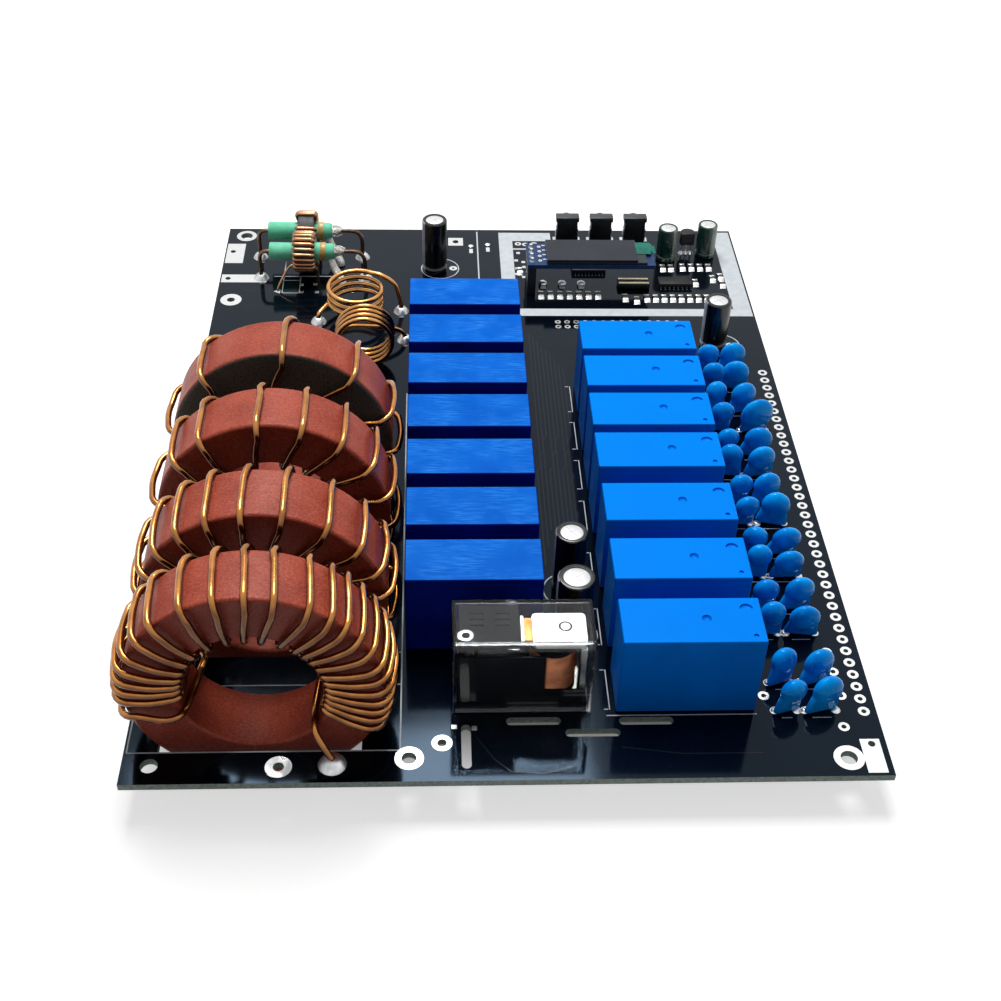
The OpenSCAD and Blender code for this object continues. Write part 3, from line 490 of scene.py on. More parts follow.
def case_finish(name, top_light, top_dark, shaded_side_light, shaded_side_dark, streak, amount):
    """Moulded relay case; its roof is ground along its length by the given amount."""
    made = Finish(name, Specular_IOR_Level=0.02)
    patches = made.mottle(90)["Mask"]
    roof = made.span(made.facing("Z"), 0.7, 0.95, 0, 1)
    top = made.blend(top_light, top_dark, patches)
    ground = made.rub(260, 11, 0.03, 0.42, 0.64)
    worn = made.both(ground, made.mottle(130, 0.38, 0.6)["Mask"])
    top = made.blend(top, streak, made.both(worn, amount))
    # The sides are darker than the roof: partly a deeper tone, partly painted shade
    side = made.blend(shaded_side_light, shaded_side_dark, patches)
    made.colour(made.blend(side, top, roof))
    made.rough(patches, 0.3, 0.42)
    height = made.both(made.mottle(2200)["Height"], made.both(ground, 2.5 * amount), "ADD")
    made.bump(height, 0.2, 0.04)
    return made.material


def clear_finish():
    """Clear moulded plastic."""
    made = Finish("clear_case", Transmission_Weight=1.0, IOR=1.3)
    patches = made.mottle(140)["Mask"]
    made.colour(made.blend("#f6f8f9", "#eceff1", patches))
    made.rough(patches, 0.015, 0.05)
    made.bump(made.mottle(500)["Height"], 0.04, 0.02)
    return made.material


def braid_finish():
    """Tinned braid: crossed strands."""
    made = Finish("tinned_braid", Metallic=0.6)
    one, two = (made.rub(1500, 5, turn, 0.4, 0.6) for turn in (0.7, -0.7))
    strands = made.both(one, two, "MAXIMUM")
    made.colour(made.blend("#8d8a84", "#f1efe8", strands))
    made.rough(strands, 0.5, 0.3)
    made.bump(strands, 0.6, 0.12)
    return made.material


BARE_FACE_Y = 86.2
MASK = board_finish()
TRACE = simple_finish("mask_over_copper", "#161d26", "#10161d", 300, (0.1, 0.2), (0.1, 0.03), 900,
                      Specular_IOR_Level=0.22)
INK = simple_finish("white_ink", "#cdd3d7", "#c2c9ce", 500, (0.6, 0.75), (0.3, 0.03), 2400,
                    Specular_IOR_Level=0.2)
TIN = simple_finish("tinned_pad", "#e9eaea", "#c3c5c6", 420, (0.24, 0.42), (0.35, 0.06), 900,
                    Metallic=1.0)
# Tin painted dark, as painted shade for the chip pins near the display
SHADE_DARKENED_TIN = simple_finish("shade_darkened_tin", "#4b4d50", "#34363a", 420, (0.4, 0.55), (0.35, 0.06), 900,
                         Metallic=1.0)
SOLDER = simple_finish("solder", "#e6e7e7", "#b4b6b8", 420, (0.28, 0.45), (0.4, 0.1), 700, Metallic=1.0)
CORE_PAINT = core_finish("iron_powder")
CORE_BARE = core_finish("iron_powder_bare_face", at(0, BARE_FACE_Y)[1] + 0.0001)
# The last number of each copper finish is how much painted shade darkens its underside
COPPER = copper_finish("enamelled_copper", "#d48e44", "#a5662a", (0.14, 0.24), 0.86)
COIL_COPPER = copper_finish("coil_copper", "#f0ae62", "#c8863e", (0.16, 0.26), 0.74)
RING_COPPER = copper_finish("ring_copper", "#d2a078", "#a06c48", (0.26, 0.38), 0.6)
RELAY_COPPER = copper_finish("relay_copper", "#d0814f", "#95512d", (0.3, 0.45), 0.0, 0.6)
BROWN_LEAD = copper_finish("brown_lead", "#6f5138", "#4a3423", (0.35, 0.5))
SLEEVE = simple_finish("green_sleeve", "#7cdcb8", "#62cba2", 300, (0.45, 0.6), (0.6, 0.18), 420,
                       Specular_IOR_Level=0.25)
BAND = simple_finish("amber_tape", "#d9b871", "#b58f4e", 400, (0.3, 0.45))
BRAID = braid_finish()
FERRITE = simple_finish("ferrite", "#4a4b4f", "#303134", 600, (0.55, 0.7), (0.5, 0.08), 1400)
# Side colours darker than the roof: partly a deeper tone, partly painted shade
LEFT_CASE = case_finish("dark_blue_case", "#0a68d4", "#065ec8", "#04229c", "#031b80", "#2c86ea", 0.8)
RIGHT_CASE = case_finish("bright_blue_case", "#0088fc", "#0085f8", "#0072de", "#006ace", "#0a8cff",
                         0.15)
CLEAR = clear_finish()
MOULDING = simple_finish("relay_moulding", "#060608", "#0c0c0f", 250, (0.3, 0.45),
                         Specular_IOR_Level=0.1)
IRON = simple_finish("relay_iron", "#e9e8e3", "#d2d1cb", 160, (0.25, 0.34), (0.1, 0.01), 1800,
                     Metallic=1.0)
CONTACT = simple_finish("contact_alloy", "#d2a263", "#a87a42", 350, (0.22, 0.36), (0.2, 0.03), 1800,
                        Metallic=1.0)
BLACK_SLEEVE = simple_finish("black_can", "#07070a", "#101014", 200, (0.14, 0.26), (0.15, 0.05), 500)
GREEN_SLEEVE = simple_finish("green_can", "#0b3f33", "#072c25", 220, (0.16, 0.3), (0.15, 0.05), 500)
PALE_STRIPE = simple_finish("can_stripe", "#98a294", "#7c887c", 300, (0.3, 0.45))
GREY_STRIPE = simple_finish("can_grey_stripe", "#b4bac2", "#969da6", 300, (0.25, 0.4))
CAN_METAL = simple_finish("can_top", "#e6e7e7", "#d3d5d6", 350, (0.3, 0.45), (0.2, 0.03), 1500,
                          Metallic=0.35)
BLUE_COAT = simple_finish("blue_coat", "#02a2ff", "#007fe0", 260, (0.05, 0.1), (0.4, 0.15), 330,
                          Specular_IOR_Level=0.34, Specular_Tint=(0.08, 0.55, 1.0, 1))
BLUE_MASK = simple_finish("blue_board", "#20416f", "#18345c", 200, (0.25, 0.35), Specular_IOR_Level=0.2)
GLASS = simple_finish("dark_glass", "#2a2f38", "#232831", 120, (0.08, 0.14), (0.05, 0.02), 400,
                      Specular_IOR_Level=0.2)
GLASS_EDGE = simple_finish("glass_edge", "#2f383c", "#242c30", 300, (0.25, 0.35),
                           Specular_IOR_Level=0.2)
FLEX = simple_finish("display_flex", "#087263", "#065c50", 260, (0.35, 0.5), Specular_IOR_Level=0.2)
BLACK = simple_finish("black_plastic", "#0c0c0f", "#151518", 350, (0.42, 0.6), Specular_IOR_Level=0.3)
LIP = simple_finish("switch_lip", "#2f3338", "#24282c", 350, (0.35, 0.5))
GREY = simple_finish("grey_plastic", "#55585d", "#45484c", 350, (0.42, 0.58))
CERAMIC = simple_finish("smd_ceramic", "#4f463a", "#332d26", 700, (0.4, 0.55))
CREAM = simple_finish("pale_contact", "#f2e9cc", "#d9cda8", 500, (0.35, 0.5), Metallic=0.8)


# ---------------------------------------------------------------- camera, floor and light

IMAGE_WIDTH, FOCAL_PIXELS, SENSOR = 1001, 1445.8, 36
CAMERA_PLACE = (61.8, -180.1, 227.4)
CAMERA_AHEAD, CAMERA_RIGHT = (0.0465, 0.7578, -0.6508), (0.9989, -0.0376, 0.0275)
FLOOR_RADIUS, FLOOR_GAP = 3.0, 0.0003
WORLD_LIGHT = 0.2
LAMP_PLACE, LAMP_SIZE, LAMP_WATTS = (-0.04, 0.25, 0.70), (0.34, 0.4), 5.7


def make_camera():
    data = bpy.data.cameras.new("camera")
    data.sensor_width = SENSOR
    data.lens = FOCAL_PIXELS / IMAGE_WIDTH * SENSOR
    data.clip_start, data.clip_end = 0.01, 20
    cam = linked("camera", data)
    ahead, right = Vector(CAMERA_AHEAD).normalized(), Vector(CAMERA_RIGHT)
    right = (right - right.dot(ahead) * ahead).normalized()
    up = right.cross(ahead)
    cam.matrix_world = Matrix((right, up, -ahead)).transposed().to_4x4()
    cam.location = at(*CAMERA_PLACE)
    scene.camera = cam


def in_sight(tree):
    """1 for rays that see the white background: the camera's, and those off metal or through glass."""
    rays = tree.nodes.new("ShaderNodeLightPath").outputs
    seen = rays["Is Camera Ray"]
    for kind in ("Is Glossy Ray", "Is Transmission Ray"):
        either = tree.nodes.new("ShaderNodeMath")
        either.operation = "MAXIMUM"
        tree.links.new(seen, either.inputs[0])
        tree.links.new(rays[kind], either.inputs[1])
        seen = either.outputs[0]
    return seen


def make_floor():
    """Pale floor under the object's lowest point; shows white, keeps the shadow, painted shadow under
    the board.
    """
    bm = bmesh.new()
    bmesh.ops.create_circle(bm, cap_ends=True, radius=FLOOR_RADIUS, segments=96,
                            matrix=Matrix.Translation((0, 0, cad_low.z - FLOOR_GAP)))
    mesh = mesh_of(bm, "floor")
    floor = linked("floor", mesh)
    made = Finish("pale_floor", 0.9, Base_Color=(0.6, 0.6, 0.6, 1), Specular_IOR_Level=0.0,
                  Emission_Color=(1, 1, 1, 1))
    away = made.node("ShaderNodeVectorMath", operation="LENGTH")
    made.link(made.node("ShaderNodeTexCoord").outputs["Object"], away.inputs[0])
    level = made.span(away.outputs["Value"], 0.25, 1.0, 0.64, 1.0)
    # Painted shadow: the glow is dimmed under the board, by the share of the way from its middle to its
    # edges
    across, along = (made.both(made.unsigned(made.place(axis)), half * MM, "DIVIDE")
                     for axis, half in (("X", HALF_WIDTH), ("Y", HALF_LENGTH)))
    painted_shadow_under_board = made.span(made.both(across, along, "MAXIMUM"), 0.78, 0.95, 0.12, 1.0)
    glow = made.both(in_sight(made.tree), made.both(level, painted_shadow_under_board))
    made.link(glow, made.shader.inputs["Emission Strength"])
    mesh.materials.append(made.material)


def make_light():
    world = bpy.data.worlds.new("world")
    scene.world = world
    world.use_nodes = True
    tree = world.node_tree
    back = next(n for n in tree.nodes if n.type == "BACKGROUND")
    back.inputs["Color"].default_value = (1, 1, 1, 1)
    level = tree.nodes.new("ShaderNodeMapRange")
    level.inputs["To Min"].default_value = WORLD_LIGHT
    level.inputs["To Max"].default_value = 1.0
    tree.links.new(in_sight(tree), level.inputs["Value"])
    tree.links.new(level.outputs["Result"], back.inputs["Strength"])
    lamp = bpy.data.lights.new("soft_box", "AREA")
    lamp.shape = "RECTANGLE"
    lamp.size, lamp.size_y = LAMP_SIZE
    lamp.energy = LAMP_WATTS
    obj = linked("soft_box", lamp)
    obj.location = LAMP_PLACE
    obj.rotation_euler = Vector(LAMP_PLACE).to_track_quat("Z", "Y").to_euler()


# ---------------------------------------------------------------- toroids

CORE_X, CORE_Z = 27.0, 16.4
CORE_FIRST_Y, CORE_STEP_Y = 15.6, 25.8
FRONT_PAD_X, REAR_PAD_X, PAD_REACH = 41.6, 12.4, 11.1
WIRE, WIRE_IN, WIRE_OUT = 1.45, 14.05, 26.3
# A turn's reach to each side in the bore and over the rim, and its bend in the bore
SIDE_IN, SIDE_OUT, BEND_IN = 7.6, 8.5, 1.9
# Angle of each turn where it crosses the rim, from the left foot over the top
TURNS = [
    [191, 181.5, 175.5, 169.5, 162.5, 154, 143, 132.5, 115.5, 101.5, 89, 77, 62, 51.5, 43.5, 35, 26, 17,
     9.5, 2.5, -4, -10, -16, -22],
    [196, 184, 171, 157, 142, 127, 112, 95.5, 77.5, 57, 38.5, 22.5, 7, -9, -24],
    [192, 169, 142, 124, 95, 73.5, 53, 33, 14, -5, -22],
    [196, 170, 132, 86.5, 48.5, 18, -4],
]
LEAN = [0, 3, 0, 0]
SKEW = [2.6, 0, 0, 0]


def core_y(i):
    return CORE_FIRST_Y + CORE_STEP_Y * i


def core_pads(i):
    """The front and the rear pad of a toroid's wire."""
    return (FRONT_PAD_X, core_y(i) - PAD_REACH), (REAR_PAD_X, core_y(i) + PAD_REACH)


def turn_section(slack):
    """One turn round the core's section: (radius, place along the axis, share of the turn)."""
    bore, out, bend = WIRE_IN + BEND_IN, WIRE_OUT + 0.5 * slack, 3.3 + 0.4 * slack
    corners = [(bore, SIDE_IN - BEND_IN, BEND_IN, 90), (bore, BEND_IN - SIDE_IN, BEND_IN, 180),
               (out - bend, bend - SIDE_OUT, bend, 270), (out - bend, SIDE_OUT - bend, bend, 0)]
    made = []
    for n, (cr, cy, radius, first) in enumerate(corners):
        for k in range(6):
            a = math.radians(first + 18 * k)
            made.append((cr + radius * math.cos(a), cy + radius * math.sin(a), (n + 0.06 * k) / 4))
        r, y, _ = made[-1]
        if n == 2:
            for t in (0.2, 0.35, 0.5, 0.65, 0.8):
                swell = 0.5 * slack * math.sin(math.pi * t)
                made.append((r + swell, y * (1 - 2 * t), (n + 0.3 + 0.7 * t) / 4))
        if n in (1, 3):
            r2, y2, way = (out - bend, -SIDE_OUT, -1) if n == 1 else (bore, SIDE_IN, 1)
            for t in (0.2, 0.4, 0.6, 0.8):
                bow = 0.35 * math.sin(math.pi * t) * way
                made.append((r + (r2 - r) * t, y + (y2 - y) * t + bow, (n + 0.3 + 0.7 * t) / 4))
    return made


def winding_path(i):
    """The whole wire of a toroid, from its rear pad to its front pad."""
    angles = TURNS[i]
    wander = random.Random(11 + i)
    lean = math.radians(LEAN[i])
    first_step, last_step = (42, 9) if i == 0 else (6, 3)
    path = []

    def add(radius, along, angle):
        a = math.radians(angle)
        z = CORE_Z + radius * math.sin(a)
        path.append(Vector((CORE_X + radius * math.cos(a),
                            core_y(i) + along * math.cos(lean) - z * math.sin(lean),
                            along * math.sin(lean) + z * math.cos(lean))))

    for k, angle in enumerate(angles):
        before = angles[k - 1] if k else angle + first_step
        after = angles[k + 1] if k + 1 < len(angles) else angle - 6
        across = math.cos(math.radians(angle))
        slack = (1.1 if across < 0 else 1.2) * across ** 2
        slack *= wander.uniform(0.75, 1.0)
        tilt = wander.uniform(-0.05, 0.05) * (before - after)
        for radius, along, share in turn_section(slack):
            if share < 0.25:
                here = angle + (before - angle) * (0.5 - 0.9 * share)
            elif share < 0.5:
                here = angle + (before - angle) * 0.275 * (0.5 - share) / 0.25 + tilt * (share - 0.25)
            elif share < 0.75:
                here = angle + tilt * (0.25 + (share - 0.5)) + SKEW[i] * (share - 0.5) / 0.25
            else:
                here = angle + SKEW[i] - (angle + 2 * SKEW[i] - after) * 0.5 * (share - 0.75) / 0.25
            add(radius, along, here)
    for radius, along, share in turn_section(0)[4:9]:
        add(radius, along, angles[-1] - last_step - 3 * share)
    front, rear = (Vector(pad) for pad in core_pads(i))
    if i == 0:
        return first_leads(path, front, rear)
    start, end = path[3].copy(), path[-1].copy()
    lead_in = smooth_path([
        (rear.x, rear.y, UNDERSIDE), (rear.x, rear.y, 1.3), (rear.x, rear.y, 2.6),
        (rear.x - 0.35 * (rear.x - start.x), rear.y - 1.6, start.z * 0.62),
        (start.x + 0.1 * (rear.x - start.x), start.y + 1.5, start.z - 0.5), start])
    lead_out = smooth_path([
        end, (end.x + 0.1 * (front.x - end.x), end.y - 1.5, end.z - 0.5),
        (front.x - 0.35 * (front.x - end.x), front.y + 1.6, end.z * 0.62),
        (front.x, front.y, 2.6), (front.x, front.y, 1.3), (front.x, front.y, UNDERSIDE)])
    return lead_in[:-1] + path[3:-1] + lead_out


def first_leads(path, front, rear):
    """The front toroid's wire: its first turn bows out, and its ends take a wider way to their pads."""
    for _ in range(8):
        path[6:16] = [0.5 * p + 0.25 * (a + b) for a, p, b in zip(path[5:15], path[6:16], path[7:17])]
    for p, out in zip(path[6:16], (0.1, 0.25, 0.45, 0.65, 0.85, 1.0, 1.0, 0.8, 0.5, 0.2)):
        p.y -= 1.1 * out
    lead_in = smooth_path([
        (rear.x, rear.y, UNDERSIDE), (rear.x, rear.y, 1.3), (rear.x + 0.1, rear.y + 0.2, 3.5),
        (rear.x + 1.0, rear.y + 0.3, 7.0), (rear.x + 2.1, rear.y - 0.6, 9.4),
        (rear.x + 2.9, rear.y - 2.4, 9.9), path[5]])
    lead_out = smooth_path([
        path[-5], (38.3, 12.5, 8.3), (38.5, 7.4, 6.9), (39.7, 5.5, 4.9),
        (front.x - 0.6, front.y + 0.2, 2.6), (front.x, front.y, 1.2), (front.x, front.y, UNDERSIDE)])
    return lead_in[:-1] + path[5:-5] + lead_out


def toroids():
    for i in range(4):
        dress(f"toroid_core_{i + 1}", CORE_BARE if i == 3 else CORE_PAINT)
        piece(f"toroid_wire_{i + 1}", wires([winding_path(i)], WIRE, 3), COPPER,
              replaces=[f"toroid_winding_{i + 1}"], crease=60)


# ---------------------------------------------------------------- air coils

COIL_WIRE, COIL_R, COIL_PITCH, COIL_STEPS = 1.3, 7.4, 2.1, 32
# The pads of each coil's end and foot
REAR_COIL_PADS = [(52.9, 167.4), (29.9, 162.0)]
FRONT_COIL_PADS = [(54.1, 153.0), (33.1, 133.5)]


def standing_coil():
    w, cx, cy, low, turns = COIL_WIRE, 40.3, 165.0, 3.6, 3.25
    helix = []
    for k in range(int(turns * COIL_STEPS) + 1):
        a = math.radians(55 + 360 * (turns - k / COIL_STEPS))
        helix.append((cx + COIL_R * math.cos(a), cy + COIL_R * math.sin(a),
                      low + COIL_PITCH * k / COIL_STEPS))
    (bx, by), (ax, ay) = REAR_COIL_PADS
    top = Vector(helix[-1])
    foot = [(ax, ay, UNDERSIDE), (ax, ay, w), (ax + 0.5 * w, ay + 0.9 * w, low - 0.7 * w), helix[0]]
    end = [top, (top.x + 2.3 * w, top.y - 0.8 * w, top.z - 0.2 * w),
           (bx - 1.2 * w, by + 1.1 * w, top.z - 2 * w), (bx, by, 2 * w), (bx, by, w),
           (bx, by, UNDERSIDE)]
    return smooth_path(foot)[:-1] + helix + smooth_path(end)[1:]


def lying_coil():
    w, cx, cy, cz, turns = COIL_WIRE, 43.7, 137.5, 9.25, 4
    helix = []
    for k in range(turns * COIL_STEPS + 1):
        a = math.radians(200 - 360 * k / COIL_STEPS)
        helix.append((cx + COIL_R * math.cos(a), cy + COIL_PITCH * k / COIL_STEPS,
                      cz + COIL_R * math.sin(a)))
    (bx, by), (ax, ay) = FRONT_COIL_PADS
    last = Vector(helix[-1])
    foot = [(ax, ay, UNDERSIDE), (ax, ay, 1.2 * w), (ax + 0.7 * w, ay + 1.2 * w, 3.2 * w), helix[0]]
    end = [last, (last.x + 2.3 * w, last.y + 2 * w, last.z + 0.6 * w),
           (bx - 2.3 * w, by - 0.9 * w, 3.5 * w), (bx, by, 1.2 * w), (bx, by, UNDERSIDE)]
    return smooth_path(foot)[:-1] + helix + smooth_path(end)[1:]


def air_coils():
    for name, path in (("rear", standing_coil()), ("front", lying_coil())):
        piece(f"coil_wire_{name}", wires([path], COIL_WIRE, 3), COIL_COPPER,
              replaces=[f"air_coil_{name}"], crease=60)


# ---------------------------------------------------------------- coupler

STUBS = [(13.8, 196.5), (15.0, 184.8)]
SLEEVE_D, SLEEVE_L, SLEEVE_Z = 5.2, 18.6, 9.0
RING_X, RING_WIRE = 25.0, 0.7
# How far a stub's conductor comes down outside the left and right end of its sleeve
LEAD_LEFT, LEAD_RIGHT, LEAD_BEND = 3.0, 8.6, 2.0


def coupler():
    sleeves, bands, braids, rings = (bmesh.new() for _ in range(4))
    r = SLEEVE_D / 2
    tube = lathe([(0.75, 0.0), (r - 0.25, 0.0), (r - 0.05, 0.15), (r, 0.5), (r - 0.05, 4),
                  (r - 0.12, 6.4), (r - 0.12, 13), (r - 0.02, 13.6), (r, 14.2), (r - 0.02, 15.6),
                  (r - 0.12, 16.0), (r - 0.25, 16.2), (r - 0.3, 17.6), (r - 0.45, 18.3),
                  (r - 0.7, SLEEVE_L), (0.75, SLEEVE_L), (0.75, 0.0)], 32, "X")
    band = lathe([(r + 0.01, 0), (r + 0.05, 0.1), (r + 0.05, 1.4), (r + 0.01, 1.5), (r - 0.5, 1.6),
                  (r - 0.5, 0), (r + 0.01, 0)], 32, "X")
    cuff = lathe([(0.72, 0), (r * 0.56, 0), (r * 0.58, 0.5), (r * 0.46, 1.2), (r * 0.48, 1.7),
                  (r * 0.36, 2.4), (0.72, 3.0), (0.72, 0)], 28, "X")
    ring = lathe([(3.6, -2.1), (3.8, -2.3), (4.7, -2.3), (4.9, -2.1), (4.9, 2.1), (4.7, 2.3),
                  (3.8, 2.3), (3.6, 2.1), (3.6, -2.1)], 40, "X")
    tails, leads, strands = [], [], []
    fray = random.Random(5)
    for x, y in STUBS:
        end, z, b = x + SLEEVE_L, SLEEVE_Z, LEAD_BEND
        for bm, shape, place in ((sleeves, tube, x), (bands, band, x + 14.6), (braids, cuff, end - 0.4),
                                 (rings, ring, RING_X)):
            stamp(bm, shape, placed(place, y, z))
        tails.append([(*p, 1) for p in smooth_path([
            (end - 1.2, y - 0.2, z - 2.4), (end - 0.2, y - 1.4, z - 4.4), (end + 1.4, y - 3.2, 2.6),
            (end + 2.3, y - 4.4, 1.1), (end + 2.5, y - 4.7, 0.1)])])
        for _ in range(12):
            a, far = fray.uniform(0, 2 * math.pi), fray.uniform(1.2, 3.2)
            out, spread = r * 0.54, fray.uniform(0.1, 0.6)
            way = ((-0.6, out, a), (far * 0.5, out + 0.5 * spread, a),
                   (far, out * 0.6 + spread, a + 0.6))
            strands.append(smooth_path([
                (end + ahead, y + wide * math.cos(turn), z + wide * math.sin(turn))
                for ahead, wide, turn in way], 3))
        left, right = x - LEAD_LEFT, end + LEAD_RIGHT
        leads.append(smooth_path([
            (left, y, UNDERSIDE), (left, y, 3), (left, y, z - b), (left + 0.3 * b, y, z - 0.3 * b),
            (left + b, y, z), (x + 3, y, z)]))
        leads.append(smooth_path([
            (end + 2, y, z), (right - 1.6 * b, y, z), (right - 0.5 * b, y, z - 0.4 * b),
            (right, y, z - 1.5 * b), (right, y, 2), (right, y, UNDERSIDE)]))
    stamp(braids, wires(tails, 2.2, 3))
    stamp(braids, wires(strands, 0.24, 1))
    piece("coupler_sleeve_tubes", sleeves, SLEEVE, replaces=["coupler_sleeves"])
    piece("coupler_tape_bands", bands, BAND)
    piece("coupler_braid_cuffs", braids, BRAID, replaces=["coupler_braids"])
    piece("coupler_leads", wires(leads, 1.2, 2), BROWN_LEAD,
          replaces=["coupler_conductors"], crease=60)
    piece("coupler_rings", rings, FERRITE, replaces=["coupler_cores"])
    for (_, y), name in zip(STUBS, ("rear", "front")):
        paths = [ring_winding(y, name == "rear")]
        if name == "front":
            paths.append(smooth_path([(22.0, y - 2.6, 6.2), (20.4, y - 3.4, 5.6), (18.6, y - 5.2, 3.0),
                                      (17.4, y - 6.6, 0.8), (17.3, y - 6.8, -0.4)]))
        piece(f"coupler_ring_wire_{name}", wires(paths, RING_WIRE, 2), RING_COPPER,
              replaces=[f"coupler_winding_{name}"], crease=60)


def ring_winding(y, open_front):
    """Wire round a ferrite ring, fuller outside than in the bore, with leads dropping to the board."""
    inner, outer, half, bend, turns, start, span, gap = 3.15, 5.35, 2.75, 0.7, 19, 290, 320, 42
    # Round the section, in sixteen steps: radius, place along the axis, swelling of the wire
    section = []
    for cx, cr, first, swell in (
            (half - bend, inner + bend, 0, 1.0), (bend - half, inner + bend, 270, 1.0),
            (bend - half, outer - bend, 180, 1.7), (half - bend, outer - bend, 90, 1.7)):
        for k in range(4):
            a = math.radians(first - 30 * k)
            section.append((cr + bend * math.sin(a), cx + bend * math.cos(a), swell))
    path = []
    for n in range(turns):
        for k, (r, x, swell) in enumerate(section):
            share = (n + k / 16) / turns
            degrees = start + span * share
            if open_front:
                degrees = start + (span - gap) * share
                degrees += gap if degrees > 455 else 0
            a = math.radians(degrees)
            path.append((RING_X + x, y + r * math.cos(a), SLEEVE_Z + r * math.sin(a), swell))
    down = RING_X + half + RING_WIRE

    def lead(p, degrees):
        foot = y + inner * math.cos(math.radians(degrees))
        return [(down - 0.2, p[1], p[2] - 0.3, 1), (down, p[1], p[2] - 1.2, 1), (down, foot, 2, 1),
                (down, foot, UNDERSIDE, 1)]

    return list(reversed(lead(path[0], start))) + path + lead(path[-1], start + span)


# ---------------------------------------------------------------- relays

RELAY = (29.0, 12.7, 20.6)
BOBBIN_X = 6.3
LEFT_RELAYS = [(70.3, 41.9 + 17.3 * k) for k in range(7)]
RIGHT_RELAYS = [(113.9, y) for y in (23.6, 42.0, 60.4, 78.8, 94.4, 110.0, 125.6)]
ANTENNA = (79.8, 23.7)


def case_shell(edge, wall=0.9, foot=0.3):
    """A relay case: a rounded box, open at the bottom."""
    bm = bmesh.new()
    bm.from_mesh(rounded_block((RELAY[0], RELAY[1], RELAY[2] - foot), edge, 3, foot))
    low = (foot + edge * 1.2) * MM
    cut_off(bm, (0, 0, low), (0, 0, -1))
    grown = bmesh.ops.extrude_edge_only(bm, edges=[e for e in bm.edges if e.is_boundary])["geom"]
    bmesh.ops.translate(bm, vec=(0, 0, foot * MM - low),
                        verts=[v for v in grown if isinstance(v, bmesh.types.BMVert)])
    bmesh.ops.recalc_face_normals(bm, faces=bm.faces)
    bmesh.ops.solidify(bm, geom=bm.faces[:], thickness=wall * MM)
    return shape_of(bm)


def relay_cases():
    plain, top = case_shell(0.35), RELAY[2]
    left, right, clear = (bmesh.new() for _ in range(3))
    stamp_all(left, plain, LEFT_RELAYS)
    piece("inductor_relay_cases", left, LEFT_CASE, replaces=["inductor_relay_covers"],
          even=True)
    dimple = lathe([(0, -0.6), (0.55, -0.5), (0.9, -0.2), (1.05, 0.15), (0, 0.15)], 24)
    dot = lathe([(0, -0.4), (0.45, -0.4), (0.55, 0.1), (0, 0.1)], 18)
    moon = bmesh.new()
    moon.from_mesh(lathe([(0, -0.65), (0.7, -0.6), (1.2, -0.4), (1.45, 0.1), (0, 0.1)], 28))
    cut_off(moon, (0, 0, 0), (0, -1, 0))
    bmesh.ops.holes_fill(moon, edges=moon.edges[:])
    marked = carved(plain, [(dimple, moved(3, 0.4, top)), (shape_of(moon), moved(11.5, 3.1, top)),
                            (dot, moved(12.3, -4.55, top))])
    stamp_all(right, marked, RIGHT_RELAYS)
    piece("capacitor_relay_cases", right, RIGHT_CASE,
          replaces=["capacitor_relay_covers"], even=True)
    stamp(clear, case_shell(0.45), placed(*ANTENNA))
    for s in (-1, 1):
        add_block(clear, (2.4, 0.5, 1.1), 0.15, 2, 18.9, ANTENNA[0] - 2.2, ANTENNA[1] + s * 6.2)
    piece("antenna_relay_case", clear, CLEAR, replaces=["antenna_relay_cover"], even=True)


def wound(turns, shape, steps):
    """A close winding between the flanges of a bobbin; shape is the outline of one turn."""
    core, low, high = 3.05, 4.6, 14.9
    step = (high - low) / turns
    outline = [(r, low + step * (k + t)) for k in range(turns) for r, t in shape]
    return lathe([(core, low), *outline, (core, high), (core, low)], steps)


